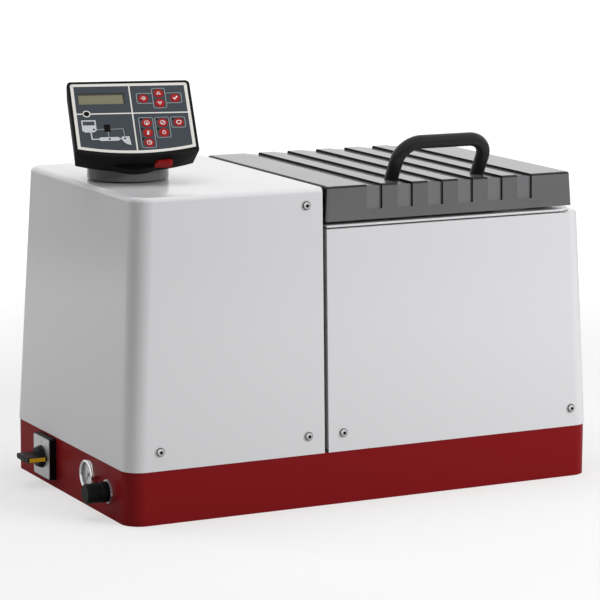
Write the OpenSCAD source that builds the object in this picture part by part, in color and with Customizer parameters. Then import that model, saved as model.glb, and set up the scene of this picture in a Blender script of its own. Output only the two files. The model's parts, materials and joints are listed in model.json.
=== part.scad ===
// Hot melt glue unit: melt tank with lid, electrics cabinet with a swivelling control head, and a base
// with the main switch and compressed air controls. Millimetres, +Z up, front towards -Y.
// The origin is the centre of the base's footprint on the floor.

/* [Base] */
// Length of the base, left to right
base_len = 756; // [720:1:800]
// Width of the base, front to rear
base_wid = 428; // [410:1:450]
// Height of the base
base_h = 77; // [75:1:90]
// Radius of the base's upright corners
corner_r = 28; // [22:1:34]
// Thickness of the housing sheets
sheet = 2; // [1.5:0.1:2.5]
// Thickness of the chassis plate on the base
chassis_t = 3; // [2:0.5:5]
// Distance between the floor bolts along the length
bolt_span_x = 660; // [600:1:680]
// Distance between the floor bolts along the width
bolt_span_y = 340; // [300:1:350]
// Radius of the floor bolt holes
bolt_hole_r = 4.5; // [3.5:0.5:5.5]

/* [Housing] */
// Height of the cabinet and of the closed lid above the floor
body_h = 459; // [450:1:480]
// Lean of the left and right sides, in degrees
end_draft = 2.75; // [2:0.05:3.2]
// Lean of the front and the rear, in degrees
face_draft = 1.97; // [1.5:0.01:2.3]
// Length of the electrics cabinet
cabinet_len = 306; // [298:1:312]
// Gap between the cabinet and the tank bay
seam_gap = 6.4; // [5:0.1:8]
// Radius along the cabinet's top edge
edge_r = 7; // [4:0.5:10]
// Depth of the folded edges of the panels
fold_depth = 12; // [9:0.5:13]
// Height of the lower cover screws above the floor
screw_z = 104; // [100:1:108]
// Radius of the cover screws' threads
screw_r = 3; // [2:0.5:4]

/* [Tank] */
// Distance from the lid's left edge to the tank's mouth
mouth_left = 47.2; // [44:0.2:60]
// Distance from the tank's mouth to the lid's right edge
mouth_right = 83.6; // [70:0.2:90]
// Width of the tank's mouth
mouth_wid = 240; // [200:1:260]
// Corner radius of the tank's mouth
mouth_r = 24; // [16:1:30]
// Wall of the cast tank
tank_wall = 8; // [6:0.5:10]
// Height of the tapered lower part of the tank
hopper_h = 100; // [80:1:120]
// Thickness of the deck plate
deck_t = 3; // [2:0.5:4]
// Height of the collar round the mouth
collar_h = 8; // [6:0.5:9]

/* [Pump] */
// Height of the manifold block
manifold_h = 80; // [78:1:90]
// Length of the manifold block
manifold_len = 160; // [150:1:166]
// Height of the manifold's standoffs
standoff_h = 30; // [24:1:36]
// Radius of the pump plunger's bore
plunger_r = 14; // [12:0.5:16]
// Inner radius of the air cylinder
cylinder_r = 31; // [26:0.5:33]
// Stroke of the pump
stroke = 40; // [30:1:42]
// Radius of the hose outlets' threads
outlet_r = 10; // [8:0.5:12]

/* [Lid] */
// Height of the lid
lid_h = 50; // [46:1:56]
// Distance from the lid's lower edge to the base's right end
lid_in = 34.4; // [30:0.2:40]
// Gap between the lid and the deck
lid_gap = 5; // [4:0.5:6]
// Lean of the lid's ends, in degrees
lid_draft = 3.9; // [2:0.1:5]
// Thickness of the lid's walls
lid_wall = 7; // [6:0.5:8]
// Thickness of the lid's top
lid_top = 9; // [8.5:0.5:11]
// Distance from one recess to the next
ramp_pitch = 50; // [46:1:52]
// Width of a ramped recess
ramp_w = 25; // [18:1:30]
// Depth of a ramped recess at its step
ramp_d = 3.5; // [2:0.5:4.5]
// How far the recesses run down the lid's front
ramp_drop = 35.4; // [28:0.2:40]
// Radius of the handle's tube
handle_r = 10; // [8:0.5:11]
// Distance between the handle's feet
handle_span = 143; // [125:1:160]
// Length of the handle from the lid to the middle of its bar
handle_reach = 63.5; // [58:0.5:75]
// Lean of the handle towards the front, in degrees
handle_lean = 28.6; // [15:0.1:35]
// Radius of the hinge pins
hinge_pin_r = 3; // [2:0.5:3.5]

/* [Control head] */
// Width of the head's face
face_w = 178; // [172:1:190]
// Height of the head's face at its sides
face_h = 119; // [114:1:130]
// Bow of the face's lower edge
face_bow = 8.5; // [6:0.5:11]
// Depth of the head
head_depth = 36; // [33:0.5:37]
// Lean of the face from upright, in degrees
face_tilt = 40.2; // [36:0.1:44]
// Turn of the head from straight ahead, in degrees
head_yaw = -13.7; // [-20:0.1:0]
// Height of the face's middle above the cabinet
face_rise = 95.2; // [94:0.1:100]
// Distance from the swivel axis to the face's middle
face_reach = 41.8; // [40:0.1:46]
// Height of the tilt axis above the cabinet
pivot_rise = 46; // [44:0.5:48]
// Radius of the swivel drum
drum_r = 58.7; // [54:0.1:60]
// Height of the swivel drum
drum_h = 19.5; // [14:0.5:21]
// Radius of the swivel spigot
spigot_r = 14; // [11:0.5:17]
// Radius of the tilt pin
pin_r = 4; // [3:0.5:5]
// Radius of a key
key_r = 7.3; // [6:0.1:7.4]
// Distance between the columns of keys
key_pitch_u = 23.2; // [20:0.1:24]
// Distance between the rows of keys
key_pitch_v = 16.7; // [16.4:0.1:17.5]
// Length of the display window
window_w = 66; // [60:0.5:68]
// Height of the display window
window_h = 18.5; // [16:0.5:21]

/* [Base controls] */
// Size of the main switch's square frame
switch_size = 62; // [56:0.5:64]
// Thickness of the main switch's frame
switch_t = 10; // [7:0.5:12]
// Length of the main switch's grip
grip_len = 45; // [42:0.5:52]
// Thickness of the main switch's grip
grip_t = 8; // [7.5:0.5:11]
// Distance of the grip's outer face from the base
grip_out = 41; // [38:0.5:46]
// Radius of the main switch's shaft
switch_shaft_r = 4; // [3:0.5:5]
// Radius of the gauge's bezel
gauge_r = 21.8; // [20:0.1:23]
// Distance of the gauge's rim from the base
gauge_out = 8; // [7:0.5:10]
// Radius of the regulator knob
knob_r = 15; // [12:0.5:16]
// Distance of the knob's outer end from the base
knob_out = 36; // [32:0.5:42]
// Radius of the regulator's spindle
spindle_r = 5; // [4:0.5:6]

/* [Hidden] */
$fn = 64;
hull_fn = 48;
thin = 0.01;
// Extra length of a cut past the face that it opens
over = 1;
// Clearances: nested sheets, running shafts, sliding pieces on different bodies
clear = 0.4;
run = 0.05;
slip = 0.3;

// How far the covers stand out past the base
proud = 1;
function half_x(z) = base_len/2 + proud - tan(end_draft)*(z - base_h);
function half_y(z) = base_wid/2 + proud - tan(face_draft)*(z - base_h);

// Places along the length and heights
wall_x = -base_len/2;
seam_x = wall_x + cabinet_len;
panel_x = seam_x + seam_gap;
deck_z = body_h - lid_h - lid_gap;
deck_low = deck_z - deck_t;
panel_gap = 2.5;
deck_in = 15;
panel_top = deck_low - panel_gap;
chassis_z = base_h + chassis_t;
flange_w = 16;
nest = sheet + clear;
split_gap = 1;
split_y = -(base_wid/2 - corner_r - 16);

partition_back = 3.5;
partition_x = seam_x - partition_back;

// The lid fills the bay from the seam, and the tank's mouth lies under it
lid_seam = 4.8;
lid_x = seam_x + lid_seam;
lid_len = base_len/2 - lid_in - lid_x;
lid_mid = lid_x + lid_len/2;
mouth_len = lid_len - mouth_left - mouth_right;
tank_x = lid_x + mouth_left + mouth_len/2;

// Cover screws
tab_w = 20;
tab_over = 11;
corner_gap = 7.5;
screw_hole_r = screw_r + 0.3;
washer_r = screw_r + 3.8;
washer_t = 1.2;
screw_len = 12;
top_screw_z = body_h - 24.3;
seam_screw_x = seam_x - 26;
cabinet_screws = [[seam_screw_x, top_screw_z], [seam_screw_x, screw_z], [wall_x + 48, screw_z]];
panel_screws = [[panel_x + 23.7, screw_z], [base_len/2 - corner_r - corner_gap, screw_z]];
end_screw_y = 120;
end_screws = [-end_screw_y, end_screw_y];

// Tank and manifold
manifold_z = chassis_z + standoff_h;
manifold_top = manifold_z + manifold_h;
manifold_x = tank_x - manifold_len/2;
manifold_front = -40;
manifold_rear = 150;
tank_floor_t = 10;
tank_floor = manifold_top + tank_floor_t;
hopper_top = tank_floor + hopper_h;
floor_len = 120;
floor_wid = 100;
rim_w = 14;
rim_t = 6;
felt_t = 14;
collar_t = 3;
pump_z = manifold_z + manifold_h/2;
outlet_hole_r = 12;
filter_r = 20;
filter_x = manifold_x + 25;
filter_depth = 100;
heater_r = 8;
heater_len = 150;
heater_z = manifold_z + 12;
heater_ys = [75, 115];
outlet_xs = [tank_x - 40, tank_x + 40];
outlet_seat_r = outlet_r - 1;
outlet_seat = 40;
outlet_out = 30;
thread_gap = 3;
heater_out = 10;
socket_z = manifold_top + 45;
socket_r = 13;

// Pump, along the length from the manifold's right face
cap_t = 16;
cap_gap = stroke - 12;
pump_x = manifold_x + manifold_len;
cap_x = pump_x + cap_gap;
barrel_x = cap_x + cap_t;
piston_t = 14;
barrel_len = stroke + piston_t + 20;
barrel_t = 3;
rod_r = plunger_r - 6;
post_r = 5;
piston_x = barrel_x + 10;
plunger_len = 71;
plunger_x = cap_x - stroke - 2 - plunger_len;
plunger_depth = 95;

// Lid
lid_z = deck_z + lid_gap;
lid_corner = 5;
lid_edge = 3;
lid_rear_gap = 5;
ramp_from = 91.3;
ramp_room = 60;
ramp_first = lid_x + ramp_from;
ramp_count = floor((lid_len - ramp_from - ramp_room)/ramp_pitch) + 1;
ramp_start = 0.8;
ramp_shift = 0.1;
handle_left = 7.2;
handle_in = 50;
handle_x = lid_mid - handle_left;
handle_y = handle_in - base_wid/2;
handle_bend = 32;
handle_seat = 6;
gasket_h = 6;
gasket_w = 12;
gasket_z = deck_z + collar_h + slip;
liner_z = gasket_z + gasket_h;
liner_t = 2;
hinge_from_mid = 140;
hinge_xs = [lid_mid - hinge_from_mid, lid_mid + hinge_from_mid];
knuckle_r = hinge_pin_r + 3;
hinge_y = half_y(deck_z) + knuckle_r + clear;
hinge_z = deck_z + lid_gap/2;
hinge_w = 50;
knuckle_w = 24;
leaf_t = 2.5;
leaf_h = 34;
knuckle_edge = 0.5;
hinge_low = hinge_z - knuckle_r - leaf_h;

// Control head, in the swivel's frame and then in the face's own
swivel_x = wall_x + 96.5;
swivel_y = 3;
bush_flange = 1.5;
bush_t = 4;
bush_r = spigot_r + bush_t;
bush_len = 10;
flange_r = bush_r + 6;
spigot_over = 2;
drum_z = body_h + bush_flange + slip;
drum_wall = 4;
pivot_back = 5;
pivot_z = body_h + pivot_rise;
face_z = body_h + face_rise;
pivot_v = (pivot_back + face_reach)*sin(face_tilt) + (pivot_z - face_z)*cos(face_tilt);
pivot_n = -(pivot_back + face_reach)*cos(face_tilt) + (pivot_z - face_z)*sin(face_tilt);
arm_w = 50;
ear_r = 11;
ear_t = 8;
barrel_r = 12;
bezel_t = 5;
shell_t = 3;
rear_bow = 12.3;
head_corner = 6;
head_taper = 4;
lobe_r = 78;
lobe_w = 66;
lobe_drop = 76.5;
lobe_t = 12;
lobe_in = 0.5;
lobe_over = 10;
arm_low = -40;
arm_high = 20;
overlay_t = 0.9;
overlay_margin = 4;
window_u = -42;
window_v = 29.7;
key_h = 4.2;
key_proud = 0.6;
keys_u = 18.5;
keys_v = -13;
arrows_v = 29;
key_table = concat(
    [[keys_u, arrows_v], [keys_u + key_pitch_u, arrows_v + key_pitch_v/2],
     [keys_u + key_pitch_u, arrows_v - key_pitch_v/2], [keys_u + 2*key_pitch_u, arrows_v]],
    [for (column = [0 : 2], row = [0 : 2 - column])
        [keys_u + column*key_pitch_u, keys_v - row*key_pitch_v]]
);
button_u = 39;
button_w = 26;
button_d = 14.5;
button_r = 5.5;
button_n = -20.5;
button_out = 3.5;
button_v = -face_h/2 - (face_bow + rear_bow)/2*(1 - pow(2*button_u/face_w, 2));

// Main switch, gauge and regulator on the left end of the base
switch_in_y = 133.5;
switch_y = base_wid/2 - switch_in_y;
switch_z = base_h - 34.4;
plate_t = 1;
plate_in = 1.5;
frame_r = 4;
shaft_hole_r = switch_shaft_r + 2;
hub_r = 14;
hub_foot_r = 17;
hub_t = 8;
grip_low = switch_t + plate_t + slip;
switch_in = 28;
slide_l = 25;
slide_t = grip_t - 2.6;
slide_d = 14;
slide_proud = 0.5;
lock_hole_r = 3;
lock_hole_in = 5;
gauge_in = 132.2;
gauge_y = gauge_in - base_wid/2;
gauge_z = base_h - 28.1;
case_r = gauge_r - 3;
dial_depth = 6;
glass_t = 1.5;
glass_in = 0.6;
pointer_pin_r = 0.8;
pointer_pin_h = 3;
pointer_gap = 0.8;
knob_in = 71.5;
knob_y = knob_in - base_wid/2;
knob_z = base_h - 39.6;
neck_r = knob_r - 0.2;
nut_r = neck_r + 2.2;
nut_t = 3;
neck_out = 5;
spindle_in = 28;
spindle_short = 8;
knob_end = 4;
gland_x = wall_x + 78;
inlet_x = wall_x + 150;
rear_z = base_h - 38;
gland_r = 10;
inlet_r = 8;
inlet_bore_r = 4;
inlet_out = 20;
inlet_depth = 14;
inlet_in = 16;
inlet_nut_t = 8;
gland_bore_r = 6.5;
gland_in = 12;
gland_out = 20;
gland_nut_t = 7;
lock_nut_t = 5;
hex_over = 4;

// Electrics in the cabinet
supply_left = 38;
supply_y = 50;
supply_len = 110;
supply_wid = 120;
supply_h = 105;
board_wid = 240;
board_h = 230;
board_t = 1.6;
board_gap = 10;
board_y = -150;
board_rise = 70;

cover_grey = [0.84, 0.84, 0.85];
base_red = [0.50, 0.10, 0.12];
lid_grey = [0.36, 0.36, 0.37];
black = [0.09, 0.09, 0.09];
steel = [0.75, 0.76, 0.78];
cast = [0.66, 0.67, 0.68];
brass = [0.78, 0.64, 0.35];
key_red = [0.68, 0.10, 0.12];

// Shared shapes and places

module rounded_rect(len, wid, r) {
    square([len - 2*r, wid], center = true);
    square([len, wid - 2*r], center = true);
    for (sx = [-1, 1], sy = [-1, 1])
        translate([sx*(len/2 - r), sy*(wid/2 - r)])
        circle(r);
}

// One level of the leaning housing, drawn in from its outer face
module slice(z, inset) {
    translate([0, 0, z])
    linear_extrude(thin)
    rounded_rect(2*(half_x(z) - inset), 2*(half_y(z) - inset), corner_r - inset, $fn = hull_fn);
}

// The whole leaning housing as one solid, with a round top edge
module envelope(inset, low) {
    round_r = max(edge_r - inset, 1);
    hull() {
        slice(low, inset);
        for (a = [0 : 18 : 90])
            slice(body_h - inset - round_r*(1 - sin(a)) - thin, inset + round_r*(1 - cos(a)));
    }
}

// Local x to +X, y up the face, z out of it
module on_front(x, z) {
    translate([x, -half_y(z), z])
    rotate([90 - face_draft, 0, 0])
    children();
}

module on_rear(x, z) {
    translate([x, half_y(z), z])
    rotate([0, 0, 180])
    rotate([90 - face_draft, 0, 0])
    children();
}

module on_right(y, z) {
    translate([half_x(z), y, z])
    rotate([0, 0, 90])
    rotate([90 - end_draft, 0, 0])
    children();
}

// Local x up, y to +Y, z out of the base's left end
module on_left_wall(y, z) {
    translate([wall_x, y, z])
    rotate([0, -90, 0])
    children();
}

// Local z out of the base's rear wall
module on_rear_wall(x, z) {
    translate([x, base_wid/2, z])
    rotate([-90, 0, 0])
    children();
}

// Local z to +X
module along_x(x, y, z) {
    translate([x, y, z])
    rotate([0, 90, 0])
    children();
}

// Local z to +Y
module along_y(x, y, z) {
    translate([x, y, z])
    rotate([-90, 0, 0])
    children();
}

module cabinet_screw_places() {
    for (place = cabinet_screws) {
        on_front(place[0], place[1]) children();
        on_rear(place[0], place[1]) children();
    }
}

module front_screw_places() {
    for (place = panel_screws)
        on_front(place[0], place[1]) children();
}

module end_screw_places() {
    for (place = panel_screws)
        on_rear(place[0], place[1]) children();
    for (y = end_screws)
        on_right(y, screw_z) children();
}

module screw_hole() {
    translate([0, 0, -screw_len])
    cylinder(r = screw_hole_r, h = screw_len + over);
}

// Housing

module base_tray() {
    color(base_red)
    difference() {
        linear_extrude(base_h)
            rounded_rect(base_len, base_wid, corner_r);
        translate([0, 0, sheet])
            linear_extrude(base_h - 2*sheet)
            rounded_rect(base_len - 2*sheet, base_wid - 2*sheet, corner_r - sheet);
        translate([0, 0, sheet])
            linear_extrude(base_h)
            rounded_rect(base_len - 2*flange_w, base_wid - 2*flange_w, corner_r - flange_w);
        for (sx = [-1, 1], sy = [-1, 1])
            translate([sx*bolt_span_x/2, sy*bolt_span_y/2, -over])
            cylinder(r = bolt_hole_r, h = sheet + 2*over);
        on_left_wall(switch_y, switch_z) wall_hole(shaft_hole_r);
        on_left_wall(gauge_y, gauge_z) wall_hole(case_r + slip);
        on_left_wall(knob_y, knob_z) wall_hole(neck_r + slip);
        on_rear_wall(gland_x, rear_z) wall_hole(gland_r + slip);
        on_rear_wall(inlet_x, rear_z) wall_hole(inlet_r + slip);
    }
}

module wall_hole(r) {
    translate([0, 0, -sheet - over])
    cylinder(r = r, h = sheet + 2*over);
}

module cover_tab() {
    low = (screw_z - base_h - chassis_t/2)/cos(max(end_draft, face_draft));
    difference() {
        translate([-tab_w/2, -low, -nest - sheet])
            cube([tab_w, low + tab_over, sheet]);
        screw_hole();
    }
}

module chassis_plate() {
    color(steel) {
        translate([0, 0, base_h])
            linear_extrude(chassis_t)
            rounded_rect(2*(half_x(chassis_z) - nest), 2*(half_y(chassis_z) - nest), corner_r - nest);
        for (place = concat([for (i = [1, 2]) cabinet_screws[i]], panel_screws)) {
            on_front(place[0], place[1]) cover_tab();
            on_rear(place[0], place[1]) cover_tab();
        }
        for (y = end_screws)
            on_right(y, screw_z) cover_tab();
    }
}

function inner_y(z) = half_y(z) - nest;

// A pair of upright flanges along the front and the rear, between two lengths and two heights
module flanges(x0, x1, depth, low, high) {
    rise = (high - low)/cos(face_draft);
    on_front(0, low)
        translate([x0, 0, -depth - sheet])
        cube([x1 - x0, rise, sheet]);
    on_rear(0, low)
        translate([-x1, 0, -depth - sheet])
        cube([x1 - x0, rise, sheet]);
}

module partition_wall() {
    top = body_h - nest;
    flange_gap = 4;
    left_low = screw_z + tab_over + flange_gap;
    right_end = panel_x + fold_depth - flange_gap;
    right_top = deck_low - clear;
    color(black)
    difference() {
        union() {
            translate([partition_x, 0, 0])
                rotate([90, 0, 90])
                linear_extrude(sheet)
                polygon([
                    [-inner_y(chassis_z), chassis_z], [inner_y(chassis_z), chassis_z],
                    [inner_y(top - edge_r), top - edge_r], [inner_y(top) - edge_r, top],
                    [edge_r - inner_y(top), top], [-inner_y(top - edge_r), top - edge_r]
                ]);
            flanges(seam_screw_x - tab_w/2, partition_x + sheet, nest, left_low, top - edge_r);
            flanges(partition_x, right_end, fold_depth + sheet, chassis_z + over, right_top);
        }
        on_front(seam_screw_x, top_screw_z) screw_hole();
        on_rear(seam_screw_x, top_screw_z) screw_hole();
    }
}

module cabinet_cover() {
    color(cover_grey)
    difference() {
        intersection() {
            envelope(0, base_h);
            translate([-base_len, -base_wid, base_h])
                cube([base_len + seam_x, 2*base_wid, body_h]);
        }
        envelope(sheet, base_h - over);
        cabinet_screw_places() screw_hole();
        translate([swivel_x, swivel_y, body_h - sheet - over])
            cylinder(r = bush_r + slip, h = sheet + 2*over);
    }
}

// A sheet of the tank bay's housing between two widths, with folded left and top edges. The left fold
// ends above the chassis plate.
module bay_panel(y0, y1) {
    difference() {
        intersection() {
            envelope(0, base_h);
            translate([panel_x, y0, base_h])
                cube([base_len, y1 - y0, panel_top - base_h]);
        }
        intersection() {
            envelope(sheet, base_h - over);
            union() {
                translate([panel_x + sheet, -base_wid, 0])
                    cube([base_len, 2*base_wid, panel_top - sheet]);
                translate([panel_x - over, -base_wid, 0])
                    cube([base_len, 2*base_wid, chassis_z + clear]);
            }
        }
        envelope(fold_depth, base_h - over);
    }
}

module front_panel() {
    color(cover_grey)
    difference() {
        bay_panel(-base_wid, split_y);
        front_screw_places() screw_hole();
    }
}

module end_panel() {
    color(cover_grey)
    difference() {
        bay_panel(split_y + split_gap, base_wid);
        end_screw_places() screw_hole();
        for (x = outlet_xs) {
            on_rear(x, pump_z) wall_hole(outlet_r + thread_gap);
            on_rear(x, socket_z) wall_hole(socket_r + slip);
        }
    }
}

module deck_outline(inset) {
    intersection() {
        rounded_rect(2*(half_x(deck_z) - deck_in - inset), 2*(half_y(deck_z) - inset), corner_r - inset);
        translate([panel_x + inset, -base_wid])
            square([base_len, 2*base_wid]);
    }
}

module mouth(extra) {
    translate([tank_x, 0])
    rounded_rect(mouth_len + 2*extra, mouth_wid + 2*extra, mouth_r + extra);
}

module top_deck() {
    skirt_in = fold_depth + 1;
    skirt_h = 18;
    color(cover_grey) {
        translate([0, 0, deck_low])
            linear_extrude(deck_t)
            difference() {
                deck_outline(0);
                mouth(0);
            }
        translate([0, 0, deck_low - skirt_h])
            linear_extrude(skirt_h + deck_t/2)
            difference() {
                deck_outline(skirt_in);
                deck_outline(skirt_in + sheet);
            }
        translate([0, 0, deck_low])
            linear_extrude(deck_t + collar_h)
            difference() {
                mouth(collar_t);
                mouth(0);
            }
    }
}

module cover_screw() {
    head_r = screw_r + 2.2;
    head_h = 3.1;
    socket_r = 2.3;
    difference() {
        rotate_extrude()
            polygon([
                [0, -screw_len], [screw_r, -screw_len], [screw_r, 0], [washer_r, 0], [washer_r, washer_t],
                [head_r, washer_t], [head_r, washer_t + head_h*0.4], [head_r*0.8, washer_t + head_h*0.85],
                [head_r*0.5, washer_t + head_h], [0, washer_t + head_h]
            ]);
        translate([0, 0, washer_t + head_h*0.3])
            cylinder(r = socket_r, h = head_h, $fn = 6);
    }
}

module cover_screws() {
    color(steel) {
        cabinet_screw_places() cover_screw();
        front_screw_places() cover_screw();
        end_screw_places() cover_screw();
    }
}

// Tank and pump

module floor_outline(extra) {
    translate([tank_x, 0])
    rounded_rect(floor_len + 2*extra, floor_wid + 2*extra, mouth_r/2 + extra);
}

module hopper(extra, low) {
    hull() {
        translate([0, 0, hopper_top - thin])
            linear_extrude(thin)
            mouth(extra, $fn = hull_fn);
        translate([0, 0, low])
            linear_extrude(thin)
            floor_outline(extra, $fn = hull_fn);
    }
}

module tank() {
    color(cast)
    difference() {
        union() {
            translate([0, 0, deck_low - rim_t])
                linear_extrude(rim_t)
                mouth(tank_wall + rim_w);
            translate([0, 0, hopper_top])
                linear_extrude(deck_low - hopper_top)
                mouth(tank_wall);
            hopper(tank_wall, manifold_top);
        }
        translate([0, 0, hopper_top])
            linear_extrude(body_h)
            mouth(0);
        hopper(0, tank_floor);
        translate([tank_x, 0, manifold_top - over])
            cylinder(r = outlet_hole_r, h = tank_floor_t + 2*over);
    }
}

module tank_insulation() {
    felt_drop = 20;
    low = hopper_top - felt_drop;
    color([0.80, 0.77, 0.66])
    translate([0, 0, low])
    linear_extrude(deck_low - rim_t - clear - low)
    difference() {
        mouth(tank_wall + slip + felt_t);
        mouth(tank_wall + slip);
    }
}

module strainer() {
    plate_gap = 4;
    plate_l = floor_len - 2*plate_gap;
    plate_w = floor_wid - 2*plate_gap;
    plate_h = 4;
    hole_pitch = 18;
    hole_r = 5;
    color(steel)
    translate([tank_x, 0, tank_floor])
    linear_extrude(plate_h)
    difference() {
        rounded_rect(plate_l, plate_w, mouth_r/4);
        for (i = [-2 : 2], j = [-2 : 2])
            translate([i*hole_pitch, j*hole_pitch])
            circle(hole_r);
    }
}

module manifold() {
    color(cast)
    difference() {
        translate([manifold_x, manifold_front, manifold_z])
            cube([manifold_len, manifold_rear - manifold_front, manifold_h]);
        along_x(pump_x - plunger_depth, 0, pump_z)
            cylinder(r = plunger_r, h = plunger_depth + over);
        translate([tank_x, 0, pump_z])
            cylinder(r = outlet_hole_r, h = manifold_h);
        along_y(filter_x, manifold_front - over, pump_z)
            cylinder(r = filter_r, h = filter_depth + over);
        for (y = heater_ys)
            along_x(pump_x + heater_out - heater_len, y, heater_z)
            cylinder(r = heater_r, h = heater_len);
        for (x = outlet_xs)
            along_y(x, manifold_rear - outlet_seat, pump_z)
            cylinder(r = outlet_seat_r + run, h = outlet_seat + over);
    }
}

module manifold_standoffs() {
    inset = 18;
    standoff_r = 9;
    color(steel)
    for (x = [manifold_x + inset, pump_x - inset], y = [manifold_front + inset, manifold_rear - inset])
        translate([x, y, chassis_z])
        cylinder(r = standoff_r, h = standoff_h);
}

module filter_cartridge() {
    cap_h = 8;
    cap_over = 4;
    hex_r = 12;
    plug_h = 18;
    mesh_r = filter_r - 5;
    mesh_t = 3;
    mesh_end = filter_depth - 5;
    slot_r = 3;
    slot_pitch = 12;
    slot_in = 10;
    color(brass)
    along_y(filter_x, manifold_front, pump_z)
    difference() {
        union() {
            translate([0, 0, -2*cap_h])
                cylinder(r = hex_r, h = cap_h + over, $fn = 6);
            translate([0, 0, -cap_h])
                cylinder(r = filter_r + cap_over, h = cap_h);
            cylinder(r = filter_r - run, h = plug_h);
            cylinder(r = mesh_r, h = mesh_end);
        }
        translate([0, 0, plug_h])
            cylinder(r = mesh_r - mesh_t, h = filter_depth);
        for (z = [plug_h + slot_in : slot_pitch : mesh_end - slot_in], a = [0 : 60 : 150])
            translate([0, 0, z])
            rotate([0, 0, a])
            rotate([90, 0, 0])
            cylinder(r = slot_r, h = 3*filter_r, center = true);
    }
}

module heater_cartridges() {
    color(steel)
    for (y = heater_ys)
        along_x(pump_x + heater_out - heater_len + over, y, heater_z)
        cylinder(r = heater_r - run, h = heater_len);
}

module hose_outlets() {
    tip_y = half_y(pump_z) + outlet_out;
    thread_y = half_y(pump_z) + thread_gap;
    hex_h = 10;
    hex_r = outlet_r + 5;
    color(brass)
    for (x = outlet_xs)
        along_y(x, 0, pump_z)
        difference() {
            union() {
                translate([0, 0, manifold_rear - outlet_seat])
                    cylinder(r = outlet_seat_r, h = tip_y - manifold_rear + outlet_seat - over);
                translate([0, 0, manifold_rear])
                    cylinder(r = hex_r, h = hex_h, $fn = 6);
                translate([0, 0, thread_y])
                    cylinder(r = outlet_r, h = tip_y - thread_y);
            }
            translate([0, 0, manifold_rear - outlet_seat - over])
                cylinder(r = outlet_r/2, h = base_wid);
        }
}

module hose_sockets() {
    flange_t = 3;
    flange_over = 4;
    inside = 22;
    outside = 14;
    cup_wall = 2;
    cup_depth = 11;
    color(black)
    for (x = outlet_xs)
        on_rear(x, socket_z)
        difference() {
            union() {
                cylinder(r = socket_r + flange_over, h = flange_t);
                translate([0, 0, -inside])
                    cylinder(r = socket_r, h = inside + outside);
            }
            translate([0, 0, outside - cup_depth])
                cylinder(r = socket_r - cup_wall, h = cup_depth + over);
        }
}

module air_cylinder() {
    cap_over = 4;
    tie_in = 8;
    cap_s = 2*(cylinder_r + barrel_t + cap_over);
    tie = cap_s/2 - tie_in;
    color(cast)
    difference() {
        union() {
            for (x = [cap_x, barrel_x + barrel_len])
                translate([x, -cap_s/2, pump_z - cap_s/2])
                cube([cap_t, cap_s, cap_s]);
            along_x(barrel_x, 0, pump_z)
                cylinder(r = cylinder_r + barrel_t, h = barrel_len);
            for (sy = [-1, 1], sz = [-1, 1])
                along_x(pump_x, sy*tie, pump_z + sz*tie)
                cylinder(r = post_r, h = cap_gap + cap_t + barrel_len + cap_t/2);
        }
        along_x(barrel_x, 0, pump_z)
            cylinder(r = cylinder_r, h = barrel_len);
        along_x(cap_x - over, 0, pump_z)
            cylinder(r = rod_r + run, h = cap_t + 2*over);
    }
}

module pump_piston() {
    color(steel) {
        along_x(plunger_x, 0, pump_z)
            cylinder(r = plunger_r - run, h = plunger_len);
        along_x(plunger_x, 0, pump_z)
            cylinder(r = rod_r, h = piston_x - plunger_x + piston_t);
        along_x(piston_x, 0, pump_z)
            cylinder(r = cylinder_r - run, h = piston_t);
    }
}

// Electrics and connections

module power_supply() {
    slots = 7;
    slot_first = 15;
    slot_pitch = 12;
    slot_w = 5;
    slot_d = 6;
    color(steel)
    translate([wall_x + supply_left, supply_y, chassis_z])
    difference() {
        cube([supply_len, supply_wid, supply_h]);
        for (i = [0 : slots - 1])
            translate([slot_first + i*slot_pitch, -over, supply_h/4])
            cube([slot_w, slot_d + over, supply_h/2]);
    }
}

// A block on the control board's left face, sunk a little into it
module board_block(y, z, size) {
    sink = board_t/4;
    translate([-size[0], y, z])
    cube([size[0] + sink, size[1], size[2]]);
}

module control_board() {
    spacer_r = 3;
    spacer_in = 12;
    relay = [18, 26, 40];
    relay_pitch = 34;
    relay_y = 20;
    relay_z = 30;
    choke = [26, 70, 80];
    choke_y = 30;
    row_z = 120;
    sink_base = [4, 88, 84];
    sink_y = 126;
    fin = [40, 5, 80];
    fin_pitch = 12;
    fin_in = 4;
    color([0.10, 0.36, 0.22])
    translate([partition_x - board_gap - board_t, board_y, chassis_z + board_rise]) {
        cube([board_t, board_wid, board_h]);
        for (y = [spacer_in, board_wid - spacer_in], z = [spacer_in, board_h - spacer_in])
            along_x(board_t/2, y, z)
            cylinder(r = spacer_r, h = board_gap + board_t/2);
        for (i = [0 : 5])
            board_block(relay_y + i*relay_pitch, relay_z, relay);
        board_block(choke_y, row_z, choke);
        board_block(sink_y, row_z - fin_in/2, sink_base);
        for (i = [0 : 6])
            board_block(sink_y + fin_in + i*fin_pitch, row_z, fin);
    }
}

// A hexagonal nut against each side of the base's rear wall
module wall_nuts(r, outer_t, inner_t) {
    cylinder(r = r + hex_over, h = outer_t, $fn = 6);
    translate([0, 0, -sheet - inner_t])
        cylinder(r = r + hex_over, h = inner_t, $fn = 6);
}

module cable_gland() {
    cap_over = 2;
    color(black)
    on_rear_wall(gland_x, rear_z)
    difference() {
        union() {
            wall_nuts(gland_r, gland_nut_t, lock_nut_t);
            translate([0, 0, -sheet - gland_in])
                cylinder(r = gland_r, h = sheet + gland_in + over);
            cylinder(r = gland_r + cap_over, h = gland_out);
        }
        translate([0, 0, -sheet - gland_in - over])
            cylinder(r = gland_bore_r, h = sheet + gland_in + gland_out + 2*over);
    }
}

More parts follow.
